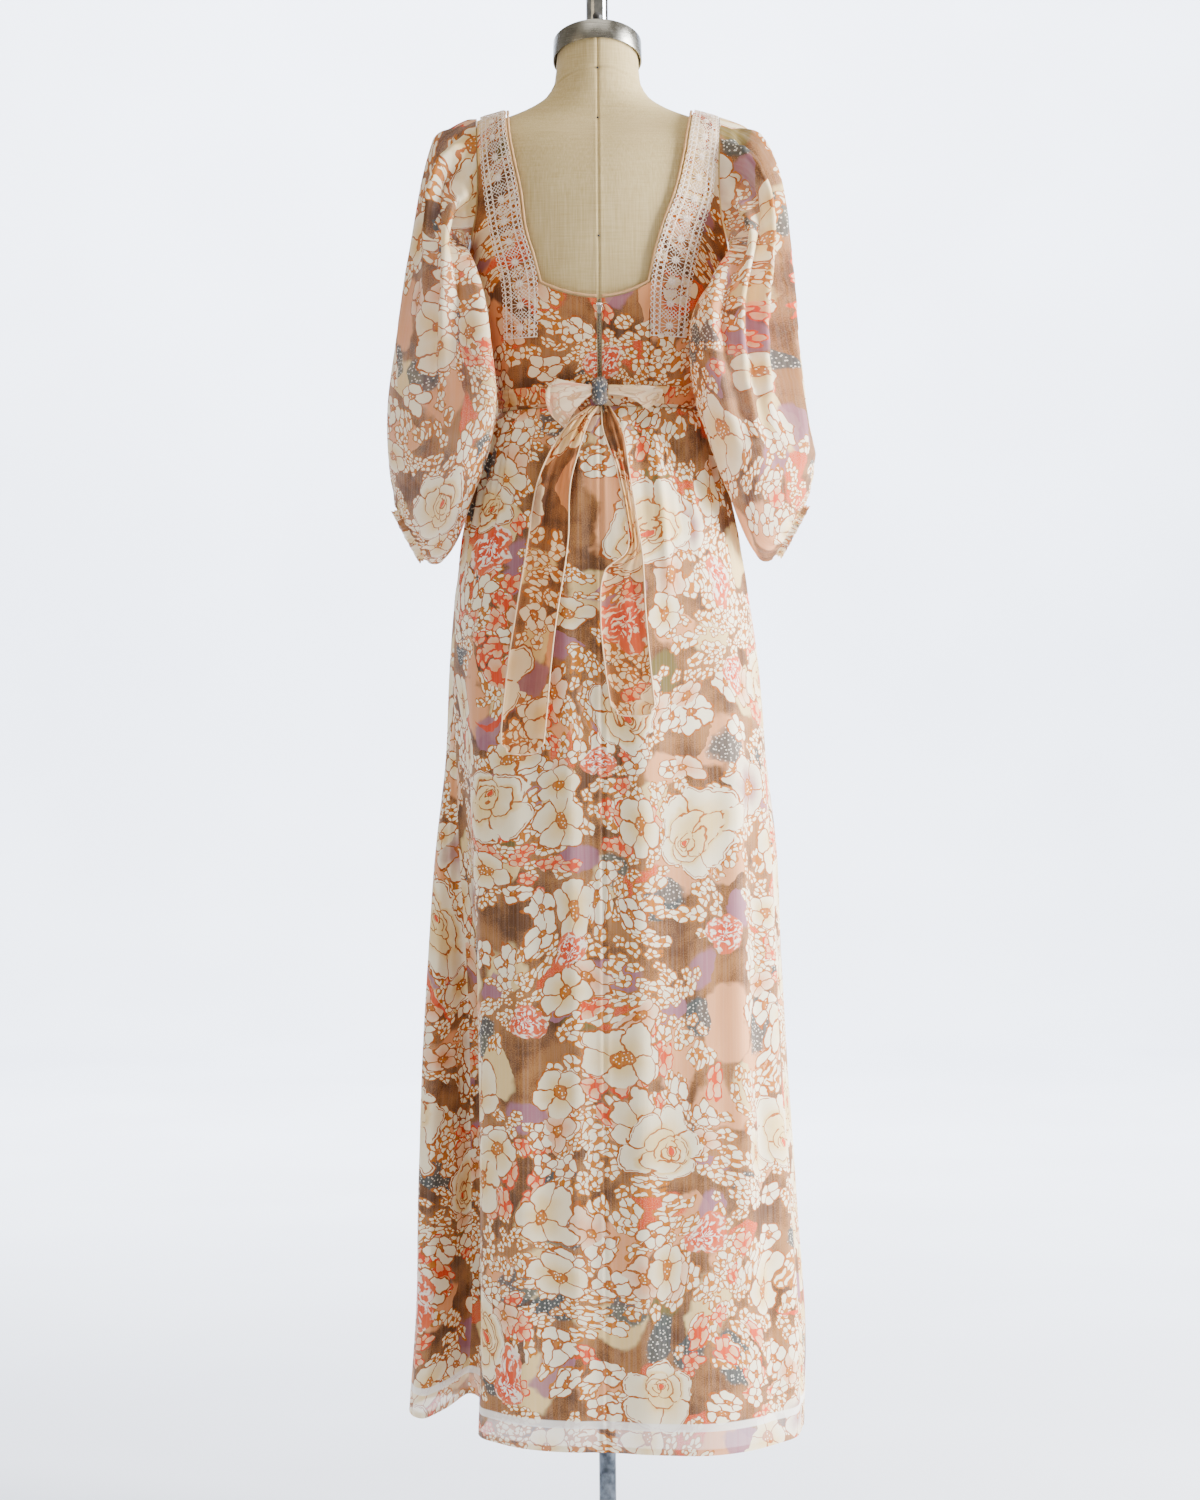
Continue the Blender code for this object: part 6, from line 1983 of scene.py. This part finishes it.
def make_stage():
    """Pale paper: a floor that bends up into a wall, beyond where the views are taken from."""
    profile = [(PAPER_START, 0.0), (PAPER_BEND, 0.0)]
    for n in range(1, 25):
        angle = math.pi / 2 * n / 24
        profile.append((PAPER_BEND + BEND_RADIUS * math.sin(angle), BEND_RADIUS * (1 - math.cos(angle))))
    profile.append((PAPER_BEND + BEND_RADIUS, PAPER_TOP))
    sweep = grid("paper_sweep", np.array([[(x, y, z) for x in np.linspace(-8, 8, 17)] for y, z in profile]))
    made, graph = new_material("pale_paper")
    cloud, _ = graph.noise(graph.own_place(), 1.5, dimensions="3D")
    tint = graph.mix(graph.step(cloud, 0.3, 0.7), linear("#D8DEEC"), linear("#DDE4F2"))
    graph.show(graph.body(tint, 0.95, Specular_IOR_Level=0.1))
    sweep.data.materials.append(made)


LIGHTS = table(
    "name place target size power colour",
    ("window_right", (2.9, -0.45, 1.6), (0, 0, 0.95), (1.4, 2.2), 490, (1.0, 0.985, 0.95)),
    ("fill_left", (-2.8, -2.6, 1.5), (0, 0, 0.9), (2.2, 2.4), 24, (1.0, 0.76, 0.46)),
    ("top_soft", (0.0, -0.9, 3.6), (0, 0, 1.0), (2.4, 2.4), 46, (1.0, 0.95, 0.86)),
    ("paper_wash", (0.0, 2.8, 4.4), (0, 6.2, 1.0), (8.0, 2.0), 1800, (0.97, 0.985, 1.0)),
)


def make_light():
    for light in LIGHTS:
        data = bpy.data.lights.new(light.name, "AREA")
        data.shape = "RECTANGLE"
        data.size, data.size_y = light.size
        data.energy = light.power
        data.color = light.colour
        obj = place_in_scene(light.name, data)
        obj.location = light.place
        obj.rotation_euler = (Vector(light.target) - Vector(light.place)).to_track_quat("-Z", "Y").to_euler()
    world = bpy.context.scene.world or bpy.data.worlds.new("studio")
    bpy.context.scene.world = world
    world.use_nodes = True
    world.node_tree.nodes.clear()
    graph = Graph(world.node_tree)
    graph.show(graph.node("Background", {"Color": linear("#F5E9D4"), "Strength": 0.46}), "OutputWorld")


CAMERA_AWAY = 3.2
CAMERA_HEIGHT = 0.90
CAMERA_SIDE = -0.0026
CAMERA_ROLL = math.radians(-0.417)
FOCAL_PIXELS = 2963
IMAGE_HEIGHT = 1500


def make_camera():
    data = bpy.data.cameras.new("camera")
    data.sensor_fit = "VERTICAL"
    data.sensor_height = 36.0
    data.lens = 36.0 * FOCAL_PIXELS / IMAGE_HEIGHT
    obj = place_in_scene("camera", data)
    level = Matrix.Rotation(math.pi / 2, 4, "X")
    roll = Matrix.Rotation(CAMERA_ROLL, 4, "Z")
    obj.matrix_world = Matrix.Translation((CAMERA_SIDE, -CAMERA_AWAY, CAMERA_HEIGHT)) @ level @ roll
    bpy.context.scene.camera = obj


make_camera()
PRINT = print_group()
SHEER = chiffon("sheer_print", 0.08, 0.24)
SKIRT_CLOTH = chiffon("skirt_print", 0.05, 0.12, sheer_hem_and_painted_line=True)
# painted shade: the bodice's print is darkened and warmed all over, standing in for the shade on the print seen
# through the lace holes
BODICE = chiffon("bodice_print", 0.0, 0.12, tint_and_shade=(0.5, linear("#EFD6B8")))
RIBBON = chiffon("ribbon_print", 0.05, 0.16, tint_and_shade=(0.9, linear("#EDD0B0")))
LOOP_CLOTH = chiffon("bow_print", 0.02, 0.20, veil=(0.55, linear("#F3D2AC")))
CUFF_CLOTH = chiffon("cuff_print", 0.06, 0.25)
KNOT_CLOTH = plain_cloth("knot_slate", linear("#4A5058"), linear("#7A6A5C"), fleck=linear("#D9D2C4"))
LINING = plain_cloth("lining_cloth", linear("#E9E0CE"), linear("#DFD4BF"), 0.0008, 0.8, 0.25)
# painted light: the lining's hem band is a much lighter copy of the lining cloth, brighter than the shaded band
# would render
LIT_LINING_BAND = plain_cloth("lit_lining_hem_cloth", linear("#FBF8F2"), linear("#F6F1E6"), 0.0008, 0.8)
LINEN = linen()
BINDING = plain_cloth("binding_cloth", linear("#B97F45"), linear("#D9C09A"))
RIBBON_EDGE = plain_cloth("ribbon_edge", linear("#F3E3C2"), linear("#D08A48"), 0.0007, fleck=linear("#C4701E"))
TAPE = plain_cloth("tape_cloth", linear("#E2D6B8"), linear("#D3C29C"), 0.0007)
THREAD = thread("lace_thread", linear("#E6D3C4"), linear("#FAEEE2"))
CHROME = metal("chrome_plate", linear("#8E949C"), linear("#C3C8CE"), 0.09)
# painted shade: a much darker copy of the chrome, standing in for the dark surroundings the pole's chrome would
# reflect
SHADED_POLE_CHROME = metal("shaded_pole_chrome", linear("#35393E"), linear("#6B7178"), 0.14)
STEEL = metal("brushed_band", linear("#6E6E6A"), linear("#A3A29D"), 0.28, 0.8)
DARK = painted("dark_paint", linear("#2A2A2C"), linear("#3A3A3C"), 0.42)
PIN = painted("pin_head", linear("#1B1B1D"), linear("#2C2C2E"), 0.35)
ZIP_METAL = metal("zip_teeth_metal", linear("#5C534B"), linear("#8F8880"), 0.35)
ZIP_BRIGHT = metal("zip_bright_metal", linear("#C9C9C6"), linear("#F0F0EC"), 0.22)

make_stand()
make_neck()
make_form()
make_bodice()
make_bindings()
make_lace()
make_sleeves()
skirt_obj = make_skirt()
make_sash()
make_knot()
make_loops()
make_tails(skirt_obj)
make_zip()
make_stage()
make_light()

bpy.context.view_layer.update()
